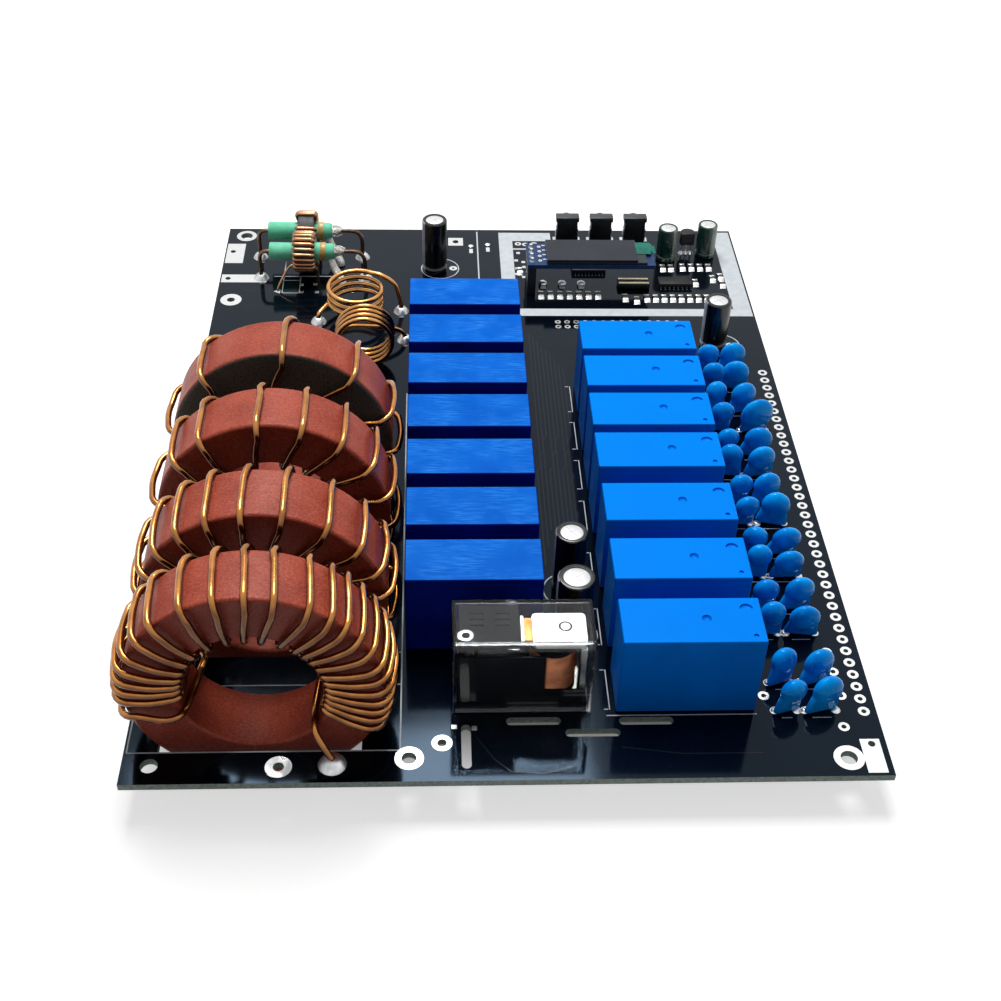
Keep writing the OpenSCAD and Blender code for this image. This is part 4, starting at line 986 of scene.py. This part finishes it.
def relay_insides():
    for name, finish in (("relay_bases", MOULDING), ("relay_bobbins", MOULDING), ("relay_yokes", IRON),
                         ("relay_terminals", CONTACT)):
        dress(name, finish)
    for name in nodes.keys():
        if "armature" in name:
            dress(name, IRON)
    fine, coarse = bmesh.new(), bmesh.new()
    stamp_all(fine, wound(44, ((4.5, 0.05), (4.66, 0.3), (4.66, 0.7), (4.5, 0.95)), 20),
              [(x + BOBBIN_X, y) for x, y in LEFT_RELAYS + RIGHT_RELAYS])
    piece("relay_coil_wire", fine, RELAY_COPPER, replaces=["relay_windings"])
    x, y = ANTENNA
    turn = ((4.5, 0), (4.66, 0.12), (4.78, 0.32), (4.81, 0.5), (4.78, 0.68), (4.66, 0.88))
    stamp(coarse, wound(26, turn, 40), placed(x + BOBBIN_X, y, 0, 3))
    piece("antenna_relay_coil_wire", coarse, RELAY_COPPER, crease=60)

    # What shows through the clear case: a black frame round the contacts, and the moving plate
    shroud = bmesh.new()
    for s in (-1, 1):
        add_block(shroud, (17.4, 0.6, 13.2), 0.15, 2, 2.6, x - 4.2, y + s * 5.0)
        add_block(shroud, (0.5, 0.6, 10.4), 0.12, 1, 2.6, x + 11.4, y + s * 5.0)
        add_block(shroud, (8.6, 0.6, 3.4), 0.15, 2, 2.6, x + 8.4, y + s * 5.0)
    add_block(shroud, (0.5, 9.6, 13.4), 0.15, 2, 2.6, x - 13.15, y)
    add_block(shroud, (12.4, 8.8, 8.6), 0.3, 2, 2.5, x - 5.4, y)
    groove = rounded_block((2.9, 0.9, 0.4), 0.1, 1, 19.5)
    lid = carved(rounded_block((12.2, 10.4, 0.3), 0.06, 1, 19.36),
                 [(groove, moved(d, e, 0)) for d in (-2.6, 2.6) for e in (-0.9, 0.7, 2.3)])
    stamp(shroud, lid, placed(x - 6.8, y))
    piece("antenna_relay_frame", shroud, MOULDING, even=True)
    rivet = bmesh.new()
    stamp(rivet, lathe([(0.7, -0.25), (0.75, -0.02), (0.9, 0.03), (1.45, 0.03), (1.75, -0.06),
                        (1.75, -0.25), (0.7, -0.25)], 24), placed(x - 11.6, y - 3.3, 19.66))
    piece("antenna_relay_rivet", rivet, TIN)
    plate = bmesh.new()
    bmesh.ops.create_cube(plate, size=1, matrix=moved(7.35, 0, 17.6) @ sized(11.1, 8.4, 1.2))
    bevelled(plate, [e for e in plate.edges if abs(e.verts[0].co.z - e.verts[1].co.z) > 1e-4], 1.0, 4)
    bevelled(plate, [e for e in plate.edges if abs(e.verts[0].co.z - e.verts[1].co.z) < 1e-7], 0.12, 2)
    arm = bmesh.new()
    stamp(arm, shape_of(plate), placed(x, y), 0)
    stamp(arm, lathe([(0.95, 18.18), (1.05, 18.26), (1.35, 18.26), (1.45, 18.18), (0.95, 18.18)], 24),
          placed(x + 8.6, y + 0.4), 2)
    add_block(arm, (13.7, 4.0, 0.3), 0.05, 1, 17.4, x - 4.05, y, 1)
    add_block(arm, (1.7, 6.4, 0.35), 0.08, 1, 17.5, x + 1.0, y, 1)
    add_block(arm, (0.8, 7.0, 0.8), 0.12, 2, 17.45, x - 0.15, y, 0)
    stamp(arm, lathe([(0, 16.9), (1.1, 16.9), (1.3, 17.05), (1.3, 18.05), (1.1, 18.2), (0, 18.2)], 20),
          placed(x - 9.5, y), 1)
    piece("antenna_relay_moving_plate", arm, [IRON, CONTACT, LIP],
          body="antenna_relay_armature", replaces=["antenna_relay_armature"], even=True)


# ---------------------------------------------------------------- capacitors

# Cans: x, y, diameter, height, turn of the stripe
POWER_CANS = [(92.1, 54.4, 7.2, 17, 150), (92.1, 40.2, 8.2, 17, 150), (62.5, 189.5, 7.2, 17, 172),
              (139.4, 150.2, 7.2, 15.2, 158)]
LOGIC_CANS = [(132.0, 196.4, 5.8, 10.7, -62), (144.2, 198.6, 5.8, 10.7, -70)]
POWER_PITCH, LOGIC_PITCH = 3.2, 2.4
DISC_TOP, DISC_THICK = 8.7, 3.6
# Discs: x, y, diameter, distance of the leads, row; one of them is larger
DISCS = []
for column, (disc_d, disc_leads) in enumerate(((5.8, 4.6), (6.8, 6.4))):
    for row, middle in enumerate((21.1, 43.4, 61.6, 79.8, 98.0, 116.2, 134.4)):
        for side in (-1, 1):
            large = (column, row, side) == (1, 5, -1)
            DISCS.append((134.9 + 7.3 * column + (2 if large else 0), middle + side * 3.9,
                          9.0 if large else disc_d, disc_leads, row))


def cans():
    for group, name, finish, slot, node, mark, pitch, lip in (
            (POWER_CANS, "power_can", BLACK_SLEEVE, "black_can", "power_capacitor_cans", GREY_STRIPE,
             POWER_PITCH, 2.0),
            (LOGIC_CANS, "logic_can", GREEN_SLEEVE, "green_can", "logic_capacitor_cans", PALE_STRIPE,
             LOGIC_PITCH, 1.6)):
        sleeves, tops, stripes, feet = bmesh.new(), bmesh.new(), bmesh.new(), []
        for x, y, d, h, turn in group:
            r, g, base, low = d / 2, 0.07 * d, 0.04 * d, 0.25 * d
            inner, face, sunk = r - lip * g, h - 0.3 * g, h - 1.2 * g
            side = [(r - 0.3 * g, base + 0.15 * g), (r, base + g), (r, low),
                    (r - 0.35 * g, low + 0.4 * g), (r - g, low + g), (r - 0.35 * g, low + 1.6 * g),
                    (r, low + 2 * g), (r, h - g), (r - 0.12 * g, h - 0.5 * g),
                    (r - 0.5 * g, h - 0.1 * g)]
            sleeve = [(r - 1.1, base + 0.1), (r - g, base), *side, (r - g, h),
                      (inner + 0.1 * g, h - 0.05 * g), (inner, h - 0.4 * g), (inner, sunk)]
            stamp(sleeves, lathe(sleeve, 40), placed(x, y))
            stamp(stripes, lathe([(a + 0.03, b) for a, b in side], 8, sweep=48), placed(x, y, 0, turn))
            lid = lathe([(0, face), (inner - 0.5 * g, face), (inner - 0.1 * g, h - 0.5 * g),
                         (inner + 0.1 * g, sunk), (0, sunk)], 40)
            groove = rounded_block((d * 0.56, 0.22, 0.3), 0.05, 1, face - 0.12)
            stamp(tops, carved(lid, [(groove, turned(t)) for t in (35, 125)]), placed(x, y))
            feet += [[(x + s * pitch / 2, y, UNDERSIDE), (x + s * pitch / 2, y, 0.9)] for s in (-1, 1)]
        piece(name + "_sleeves", sleeves, finish, replaces=[node])
        piece(name + "_stripes", stripes, mark)
        piece(name + "_tops", tops, CAN_METAL)
        piece(name + "_leads", wires(feet, 0.6, 1), TIN)


def drop(d, leads, shift):
    """A dipped disc capacitor: a fat lens whose coat runs down in a skirt to its two leads."""
    r = d / 2
    z = max(DISC_TOP, d + 0.7) - r

    def ball(bm, place, size, segments, rings):
        bmesh.ops.create_uvsphere(bm, u_segments=segments, v_segments=rings, radius=1,
                                  matrix=moved(*place) @ sized(*size))

    lens, skirt = bmesh.new(), bmesh.new()
    ball(lens, (shift, 0, z), (r * 1.05, DISC_THICK * 0.54, r * 1.05), 32, 20)
    # The skirt: the hull of the feet on the leads and of the heart of the lens
    for x in (-leads / 2, leads / 2):
        ball(skirt, (x, 0, 0.75), (0.8, 0.75, 0.7), 16, 10)
    ball(skirt, (shift, 0, z), (r * 0.9, DISC_THICK * 0.44, r * 0.7), 16, 10)
    hull = bmesh.ops.convex_hull(skirt, input=skirt.verts[:])
    bmesh.ops.delete(skirt, geom=list({*hull["geom_interior"], *hull["geom_unused"]}), context="VERTS")
    stamp(lens, shape_of(skirt))
    obj = linked("drop", mesh_of(lens, "drop"))
    fuse = obj.modifiers.new("fuse", "REMESH")
    fuse.mode, fuse.voxel_size, fuse.use_smooth_shade = "VOXEL", 0.27 * MM, True
    relax = obj.modifiers.new("relax", "SMOOTH")
    relax.factor, relax.iterations = 0.5, 6
    return settled(obj)


def discs():
    lean = random.Random(3)
    coats, pads, ink, feet = bmesh.new(), bmesh.new(), bmesh.new(), []
    ring = washer(0.4, 1.0, 0, 0.05, 16)
    blob = lathe([(0, 0.5), (0.4, 0.47), (0.7, 0.33), (0.9, 0.05), (0, 0.05)], 14)
    shapes = {}
    for x, y, d, leads, row in DISCS:
        shift = 0.9 if row == 0 else lean.choice((-0.2, 0.3, 0.6))
        kind = (d, leads, shift)
        if kind not in shapes:
            shapes[kind] = drop(*kind)
        twist = lean.uniform(16, 24) if row == 0 else lean.uniform(-10, 16)
        tip = turned(lean.uniform(-10, 8), "X") @ turned(lean.uniform(-3, 7), "Y") @ turned(twist)
        stamp(coats, shapes[kind], placed(x, y) @ Matrix.Scale(lean.uniform(0.96, 1.0), 4) @ tip)
        left, right = x - leads / 2, x + leads / 2
        for foot in (left, right):
            feet.append([(foot, y, UNDERSIDE), (foot, y, 1.0)])
            stamp(pads, ring, placed(foot, y))
            stamp(pads, blob, placed(foot, y))
        bar(ink, (left + 1.3, y - 1.9), (right - 1.3, y - 1.9), 0.22)
    piece("disc_coats", coats, BLUE_COAT, replaces=["disc_capacitors"], crease=80)
    piece("disc_leads", wires(feet, 0.6, 1), TIN)
    piece("disc_pads", pads, TIN)
    piece("disc_ink", ink, INK)


# ---------------------------------------------------------------- display, switches and small parts

HEADER_PINS = [(90.4, 181.8 + (row - 1.5) * 2.54) for row in range(4)]
DISPLAY_TOP = 10.2
SWITCHES = [(102.8 + 10.3 * k, 207.2) for k in range(3)]
SWITCH_LEG, BUTTON_Z = 2.1, 5.27
TRANSISTOR = (138.6, 199.8)
TRANSISTOR_LEG = 1.4
CRYSTAL = (120.6, 181.0)


def display():
    dress("display_board", BLUE_MASK)
    dress("display_header", BLACK)
    glass, flex, pads = (bmesh.new() for _ in range(3))
    add_block(glass, (28.8, 11.4, 0.7), 0.08, 1, DISPLAY_TOP, 109.0, 181.8, 1)
    add_block(glass, (26.0, 11.4, 0.8), 0.08, 1, 10.9, 107.6, 181.8, 0)
    piece("display_panel", glass, [GLASS, GLASS_EDGE], replaces=["display_glass"])
    add_block(flex, (4.4, 6.4, 0.1), 0.03, 1, 10.92, 122.8, 184.0)
    add_block(flex, (2.6, 4.2, 0.1), 0.03, 1, 10.24, 125.2, 184.4)
    add_block(flex, (1.2, 4.2, 0.75), 0.1, 2, 10.26, 124.9, 184.4)
    piece("display_flex", flex, FLEX)
    dot = lathe([(0.75, 0), (0.6, 0.35), (0.48, 0.8), (0.46, 1.08), (0, 1.12)], 14)
    for x, y in HEADER_PINS:
        stamp(pads, dot, placed(x, y, DISPLAY_TOP))
        stamp(pads, washer(0.2, 0.55, 0, 0.04, 14), placed(92.7, y + 0.3, DISPLAY_TOP))
        add_block(pads, (1.0, 0.5, 0.12), 0.03, 1, DISPLAY_TOP, 94.0, y + 0.9)
    piece("display_pads", pads, TIN)


def switches():
    bodies, lips, brackets = (bmesh.new() for _ in range(3))
    bore = lathe([(0, -4), (1.78, -4), (1.78, 4), (0, 4)], 28, "Y")
    core = carved(rounded_block((6.2, 3.0, 8.2), 0.2, 2, 0.1), [(bore, moved(0, 3.6, BUTTON_Z))])
    lip = rounded_block((7.0, 3.1, 1.5), 0.18, 2, 6.95)
    strap = rounded_block((0.35, 2.2, 4.4), 0.1, 1, 0.1)
    foot = rounded_block((1.1, 2.4, 0.5), 0.12, 1, 0.0)
    leg = rounded_block((0.7, 0.5, 2.6), 0.1, 1, UNDERSIDE)
    knob = lathe([(0, 0.0), (1.66, 0.0), (1.7, 0.1), (1.7, 4.4), (1.62, 4.72), (1.4, 4.95), (0, 5.0)],
                 28, "Y")
    for k, (x, y) in enumerate(SWITCHES):
        stamp(bodies, core, placed(x, y))
        stamp(lips, lip, placed(x, y))
        for s in (-1, 1):
            stamp(brackets, strap, placed(x + s * 3.27, y))
            stamp(brackets, foot, placed(x + s * 3.6, y - 0.1))
            stamp(brackets, leg, placed(x + s * SWITCH_LEG, y))
        button = bmesh.new()
        stamp(button, knob, placed(x, y + 0.02, BUTTON_Z))
        piece(f"switch_button_{k + 1}", button, GREY, body=f"switch_plunger_{k + 1}",
              replaces=[f"switch_plunger_{k + 1}"])
    piece("switch_housings", bodies, BLACK, replaces=["switch_bodies"])
    piece("switch_lips", lips, LIP)
    piece("switch_brackets", brackets, TIN)


def transistor():
    """A rounded half-drum on three spread legs."""
    bm, body = bmesh.new(), bmesh.new()
    bmesh.ops.create_circle(bm, cap_ends=True, radius=2.25 * MM, segments=40, matrix=moved(0, 0, 3.4))
    cut_off(bm, (0, -1.3 * MM, 0), (0, -1, 0))
    bmesh.ops.holes_fill(bm, edges=bm.edges[:])
    top = bmesh.ops.extrude_face_region(bm, geom=bm.faces[:])["geom"]
    bmesh.ops.translate(bm, vec=(0, 0, 3.9 * MM),
                        verts=[v for v in top if isinstance(v, bmesh.types.BMVert)])
    bevelled(bm, [e for e in bm.edges if len({round(v.co.z, 6) for v in e.verts}) == 1], 0.25, 2)
    x, y = TRANSISTOR
    stamp(body, shape_of(bm), placed(x, y))
    piece("transistor_body", body, BLACK, replaces=["transistor"])
    way = ((TRANSISTOR_LEG, UNDERSIDE), (TRANSISTOR_LEG, 0.8), (1.35, 2.2), (1.1, 3.6))
    legs = [smooth_path([(x + s * spread, y, z) for spread, z in way]) for s in (-1, 0, 1)]
    piece("transistor_legs", wires(legs, 0.5, 1), TIN)


def chips():
    """Flat chips with bent pins, and the crystal with its pale bars."""
    cases, pins, crystal = (bmesh.new() for _ in range(3))
    for x, y, l, w, count, pitch in ((108.1, 192.5, 10, 10, 9, 1.0), (133.1, 182.0, 9.9, 4, 8, 1.27)):
        add_block(cases, (l, w, 1.4), 0.15, 2, 0.1, x, y)
        pin = rounded_block((pitch * 0.4, 1.3, 0.16), 0.05, 1, 0.02)
        knee = rounded_block((pitch * 0.4, 0.5, 0.45), 0.08, 1, 0.05)
        for k in range(count):
            pin_x = x + (k - (count - 1) / 2) * pitch
            for s in (-1, 1):
                stamp(pins, pin, placed(pin_x, y + s * (w / 2 + 0.52)))
                stamp(pins, knee, placed(pin_x, y + s * (w / 2 + 0.15)))
    piece("chip_cases", cases, BLACK, replaces=["chips"])
    piece("chip_pins", pins, SHADE_DARKENED_TIN)
    x, y = CRYSTAL
    add_block(crystal, (9.4, 3.4, 1.7), 0.35, 3, 0.05, x, y, 0)
    for s in (-1, 1):
        add_block(crystal, (8.8, 0.75, 0.24), 0.08, 1, 1.74, x, y + s * 1.1, 1)
    piece("crystal", crystal, [BLACK, CREAM])


def fillet():
    """The solder that slopes from the end of a small part to its pad."""
    bm = bmesh.new()
    rows = [[bm.verts.new((x * MM, y * MM, z * MM)) for y, z in (
        (0.5, 0), (0.5, 0.74), (0.2, 0.68), (-0.15, 0.45), (-0.45, 0.16), (-0.65, 0.04), (-0.65, 0))]
        for x in (-0.86, -0.78, 0.78, 0.86)]
    for v in rows[0] + rows[3]:
        v.co.z *= 0.8
    for one, two in zip(rows, rows[1:]):
        for k in range(6):
            bm.faces.new((one[k], one[k + 1], two[k + 1], two[k]))
    bm.faces.new(rows[0])
    bm.faces.new(list(reversed(rows[3])))
    bm.faces.new([row[0] for row in rows] + [row[6] for row in reversed(rows)])
    return shape_of(bm)


def surface_parts():
    """Small ceramic blocks with tinned ends, and domed round ones, each on two soldered pads."""
    blocks, ends, rounds = (bmesh.new() for _ in range(3))
    block = rounded_block((1.35, 1.5, 0.66), 0.08, 1, 0.04)
    cap = rounded_block((1.5, 0.6, 0.74), 0.16, 2, 0.0)
    slope = fillet()
    dome = lathe([(0, 0.05), (1.05, 0.05), (1.25, 0.3), (1.25, 0.75), (1.0, 1.15), (0.55, 1.38),
                  (0, 1.45)], 24)
    domed_row = 181.5
    # Rows: first x, y, count, pitch
    for x0, y, count, pitch in (
            (93.2, 176.0, 7, 2.76), (123.9, 174.4, 8, 2.5), (87.7, 189.0, 1, 0),
            (94.1, domed_row, 3, 5.6), (130.5, 191.0, 2, 2.4), (136.5, 191.4, 4, 2.6),
            (147.1, 186.0, 1, 0), (147.1, 182.0, 1, 0), (139.2, 182.8, 1, 0), (117.6, 174.6, 1, 0),
            (120.8, 173.4, 1, 0), (144.6, 185.0, 1, 0)):
        for k in range(count):
            x, domed = x0 + k * pitch, y == domed_row
            stamp(rounds if domed else blocks, dome if domed else block, placed(x, y))
            for s in (-1, 1):
                if not domed:
                    stamp(ends, cap, placed(x, y + s * 0.85))
                stamp(ends, slope, placed(x, y + s * 1.5, 0, 0 if s < 0 else 180))
    piece("smd_blocks", blocks, CERAMIC, replaces=["smd_passives"])
    piece("smd_ends", ends, TIN)
    piece("round_parts", rounds, TIN)


# ---------------------------------------------------------------- board: mask, pads, ink and solder

HEAVY_PADS = [pad for i in range(4) for pad in core_pads(i)] + REAR_COIL_PADS + FRONT_COIL_PADS
HEAVY_PADS += [(end, y) for x, y in STUBS for end in (x - LEAD_LEFT, x + SLEEVE_L + LEAD_RIGHT)]
RELAY_PINS = [(x + dx, y + dy) for x, y in LEFT_RELAYS + RIGHT_RELAYS + [ANTENNA]
              for dx, dy in ((-9.5, 0), (-12.2, 0), (12.2, 0), (-1, 3.8), (-1, -3.8))]
LEAD_ENDS = [(x + s * POWER_PITCH / 2, y) for x, y, *_ in POWER_CANS for s in (-1, 1)]
LEAD_ENDS += [(x + s * LOGIC_PITCH / 2, y) for x, y, *_ in LOGIC_CANS for s in (-1, 1)]
LEAD_ENDS += [(x + s * leads / 2, y) for x, y, _, leads, _ in DISCS for s in (-1, 1)]
LEAD_ENDS += HEADER_PINS
LEAD_ENDS += [(x + s * SWITCH_LEG, y) for x, y in SWITCHES for s in (-1, 1)]
TRANSISTOR_PADS = [(TRANSISTOR[0] + s * TRANSISTOR_LEG, TRANSISTOR[1]) for s in (-1, 0, 1)]
LEAD_ENDS += TRANSISTOR_PADS
LEAD_ENDS += [(28.45, y + s * 1.08) for _, y in STUBS for s in (-1, 1)]


def board_pads():
    dress("circuit_board", MASK)
    pads = bmesh.new()
    # Rings: x, y, hole radius, outer radius
    rings = [(5.5, 208.6, 1.76, 3.0), (145.5, 4.6, 1.76, 3.15), (4.3, 173.1, 1.12, 3.0),
             (56.8, 5.8, 1.52, 2.95), (63.4, 9.6, 0.97, 2.1), (31.0, 4.0, 1.12, 2.7),
             (68.0, 190.5, 0.4, 1.2), (144.4, 150.8, 0.4, 1.0), (87.9, 204.7, 0.4, 1.0),
             (90.1, 204.4, 0.4, 1.0), (92.8, 204.7, 0.4, 1.0)]
    rings += [(151.3, 16.8 + 3.45 * k, 0.56, 1.25) for k in range(36)]
    rings += [(x, y, 0.56, 1.2)
              for x, y in ((147, 33.8), (147.2, 28), (147.4, 21.2), (146.2, 12.7), (131, 21.4))]
    rings += [(97.2 + 2.6 * k, y, 0.4, 0.85) for k in range(14) for y in (159.7, 162.1)]
    for x, y, inner, outer in rings:
        stamp(pads, washer(inner, outer, 0, 0.05, 32 if outer > 1.5 else 14), placed(x, y))
    # Square pads with the hole of a terminal: x, y, width, length, place and radius of the hole
    for x, y, w, l, hx, hy, r in ((3.05, 198.5, 5.3, 11.0, 2.3, 199.5, 0.77),
                                  (6.95, 184.5, 13.1, 4.2, 2.3, 184.5, 0.77),
                                  (150.65, 5.05, 4.1, 8.7, 150.9, 8.1, 0.77),
                                  (68.9, 205.8, 4.5, 4.5, 68.9, 205.8, 0.92)):
        drill = lathe([(0, -1), (r, -1), (r, 1), (0, 1)], 24)
        plate = carved(rounded_block((w, l, 0.05), 0.02, 1, 0.0), [(drill, moved(hx - x, hy - y, 0))])
        stamp(pads, plate, placed(x, y))
    stamp_all(pads, rounded_block((1.1, 1.1, 0.05), 0.02, 1, 0.0), (
        (87.7, 199.4), (86.9, 195.1), (89, 194.2), (87, 190.6), (89.1, 191.4), (86.8, 187.5),
        (88.8, 185.8), (23.9, 181.3), (27.8, 181.6), (24.1, 177.3), (28.5, 177.3), (65.9, 13.8),
        (70, 13.4)))
    stamp_all(pads, lathe([(0, 0.3), (0.5, 0.26), (0.8, 0.05), (0, 0.05)], 14),
              ((38.7, 177.8), (39, 188.8), (73.5, 203.4), (78.6, 204.3)))
    stamp_all(pads, rounded_block((1.1, 2.4, 0.06), 0.02, 1, 0.0), ((73.5, 200.4), (78.6, 201.3)))
    piece("tinned_pads", pads, TIN)


def joint(r, steps):
    """A solder joint under the board, with the lead's end in it."""
    return lathe([(r, UNDERSIDE), (0.82 * r, -1.68), (0.6 * r, -1.95), (0.42 * r, -2.35),
                  (0.3 * r, -2.62), (0, -2.7), (0, UNDERSIDE), (r, UNDERSIDE)], steps)


def solder_work():
    """Domes round the heavy leads on top, and the joints of every lead underneath."""
    power, signal = bmesh.new(), bmesh.new()
    dome = lathe([(0.7, 1.55), (0.95, 1.5), (1.3, 1.28), (1.7, 0.85), (1.95, 0.4), (2.15, 0.12),
                  (2.2, 0), (0.7, 0), (0.7, 1.55)], 28)
    big = lathe([(0.7, 1.9), (1.2, 1.82), (1.8, 1.5), (2.3, 1.0), (2.65, 0.45), (2.85, 0.12), (2.9, 0),
                 (0.7, 0), (0.7, 1.9)], 32)
    heavy = joint(1.95, 16)
    spin = random.Random(9)
    for k, (x, y) in enumerate(HEAVY_PADS):
        stamp(power, big if k == 0 else dome, placed(x, y, 0, spin.uniform(0, 360)))
        stamp(power, heavy, placed(x, y))
    stamp_all(power, joint(1.1, 10), RELAY_PINS)
    stamp_all(signal, joint(0.75, 8), LEAD_ENDS)
    cone = lathe([(0.3, 0.9), (0.45, 0.6), (0.8, 0.15), (0.9, 0), (0.3, 0), (0.3, 0.9)], 12)
    stamp_all(signal, cone, TRANSISTOR_PADS)
    piece("power_solder", power, SOLDER, replaces=["power_solder_joints"], crease=60)
    piece("signal_solder", signal, SOLDER, replaces=["signal_solder_joints"], crease=60)


def board_ink():
    ink = bmesh.new()
    # Blocks: left, front, right, back
    for a, b, c, d in ((82.1, 168.9, 86.2, 206.4), (82.1, 206.4, 98.0, 211.3),
                       (82.1, 165.2, 148.3, 168.9), (148.3, 165.2, 153.5, 212.0),
                       (86.2, 201.3, 90.2, 202.1)):
        add_block(ink, (c - a, d - b, 0.03), 0.008, 1, 0.0, (a + c) / 2, (b + d) / 2)
    # Lines: start, end, width
    lines = [((75.5, 185), (75.5, 211.6), 0.4), ((0.6, 8.1), (0.6, 112), 0.3),
             ((0.75, 7.9), (54.8, 7.9), 0.3), ((55, 7.9), (55, 128), 0.3),
             ((0.9, 25.6), (54.7, 25.6), 0.25), ((0.9, 34.8), (54.7, 34.8), 0.25),
             ((15.8, 185.7), (32.7, 185.8), 0.3), ((18.5, 177.0), (18.5, 194.2), 0.25),
             ((23.4, 177.0), (23.4, 185.3), 0.25), ((18.8, 176.8), (23.1, 176.8), 0.25),
             ((18.8, 183.5), (23.1, 183.5), 0.25), ((97.5, 16.4), (128.6, 16.4), 0.25)]
    for _, y in RIGHT_RELAYS:
        lines += [((98.2, y - 5.5), (98.2, y + 5.5), 0.22), ((97.1, y - 5.5), (97.8, y - 5.5), 0.22),
                  ((97.1, y + 5.5), (97.8, y + 5.5), 0.22)]
    for a, b, width in lines:
        bar(ink, a, b, width)
    # Rings round the cans: x, y, radius
    for x, y, r in ((64.1, 190.4, 5.5), (141.9, 150.6, 5.3), (91.9, 53.6, 5.4), (91.9, 39.6, 5.6)):
        stamp(ink, washer(r - 0.15, r + 0.15, 0, 0.03, 48), placed(x, y))
    tick = bmesh.new()
    bmesh.ops.create_cone(tick, cap_ends=True, segments=3, radius1=1.3 * MM, radius2=1.3 * MM,
                          depth=0.03 * MM, matrix=turned(90))
    stamp(ink, shape_of(tick), placed(17.3, 177.6, 0.015))
    piece("board_ink", ink, INK)


def board_traces():
    """Copper tracks that show faintly through the mask."""
    copper = bmesh.new()
    runs = []
    for k in range(9):
        x, step = 87.6 + 1.05 * k, 6 * (k % 3)
        runs.append([(x, 62 + step), (x, 96 + step), (88.6 + 1.05 * k, 98 + step),
                     (88.6 + 1.05 * k, 156 - 2 * k)])
    runs += [[(70.4, 11), (73.8, 5.4), (77, 2.2), (83.5, 1.6), (90, 3.3)],
             [(43.5, 193), (53, 189), (57.5, 187.6)], [(5, 157.5), (12, 158.2), (20, 157.8)],
             [(58.4, 38), (58.4, 150)], [(56.9, 44), (56.9, 132)], [(8, 178), (14.5, 178), (16, 179.5)],
             [(8, 170), (24, 170), (27, 167)], [(100, 8.0), (112, 6.2), (128, 6.2)]]
    for run in runs:
        for k, (a, b) in enumerate(zip(run, run[1:])):
            bar(copper, a, b, 0.33, 0, 0.012 + 0.003 * k)
    piece("board_traces", copper, TRACE)


scene.view_settings.view_transform = "Standard"
for make in (make_camera, make_floor, make_light, toroids, air_coils, coupler, relay_cases,
             relay_insides, cans, discs, display, switches, transistor, chips, surface_parts,
             board_pads, solder_work, board_ink, board_traces):
    make()
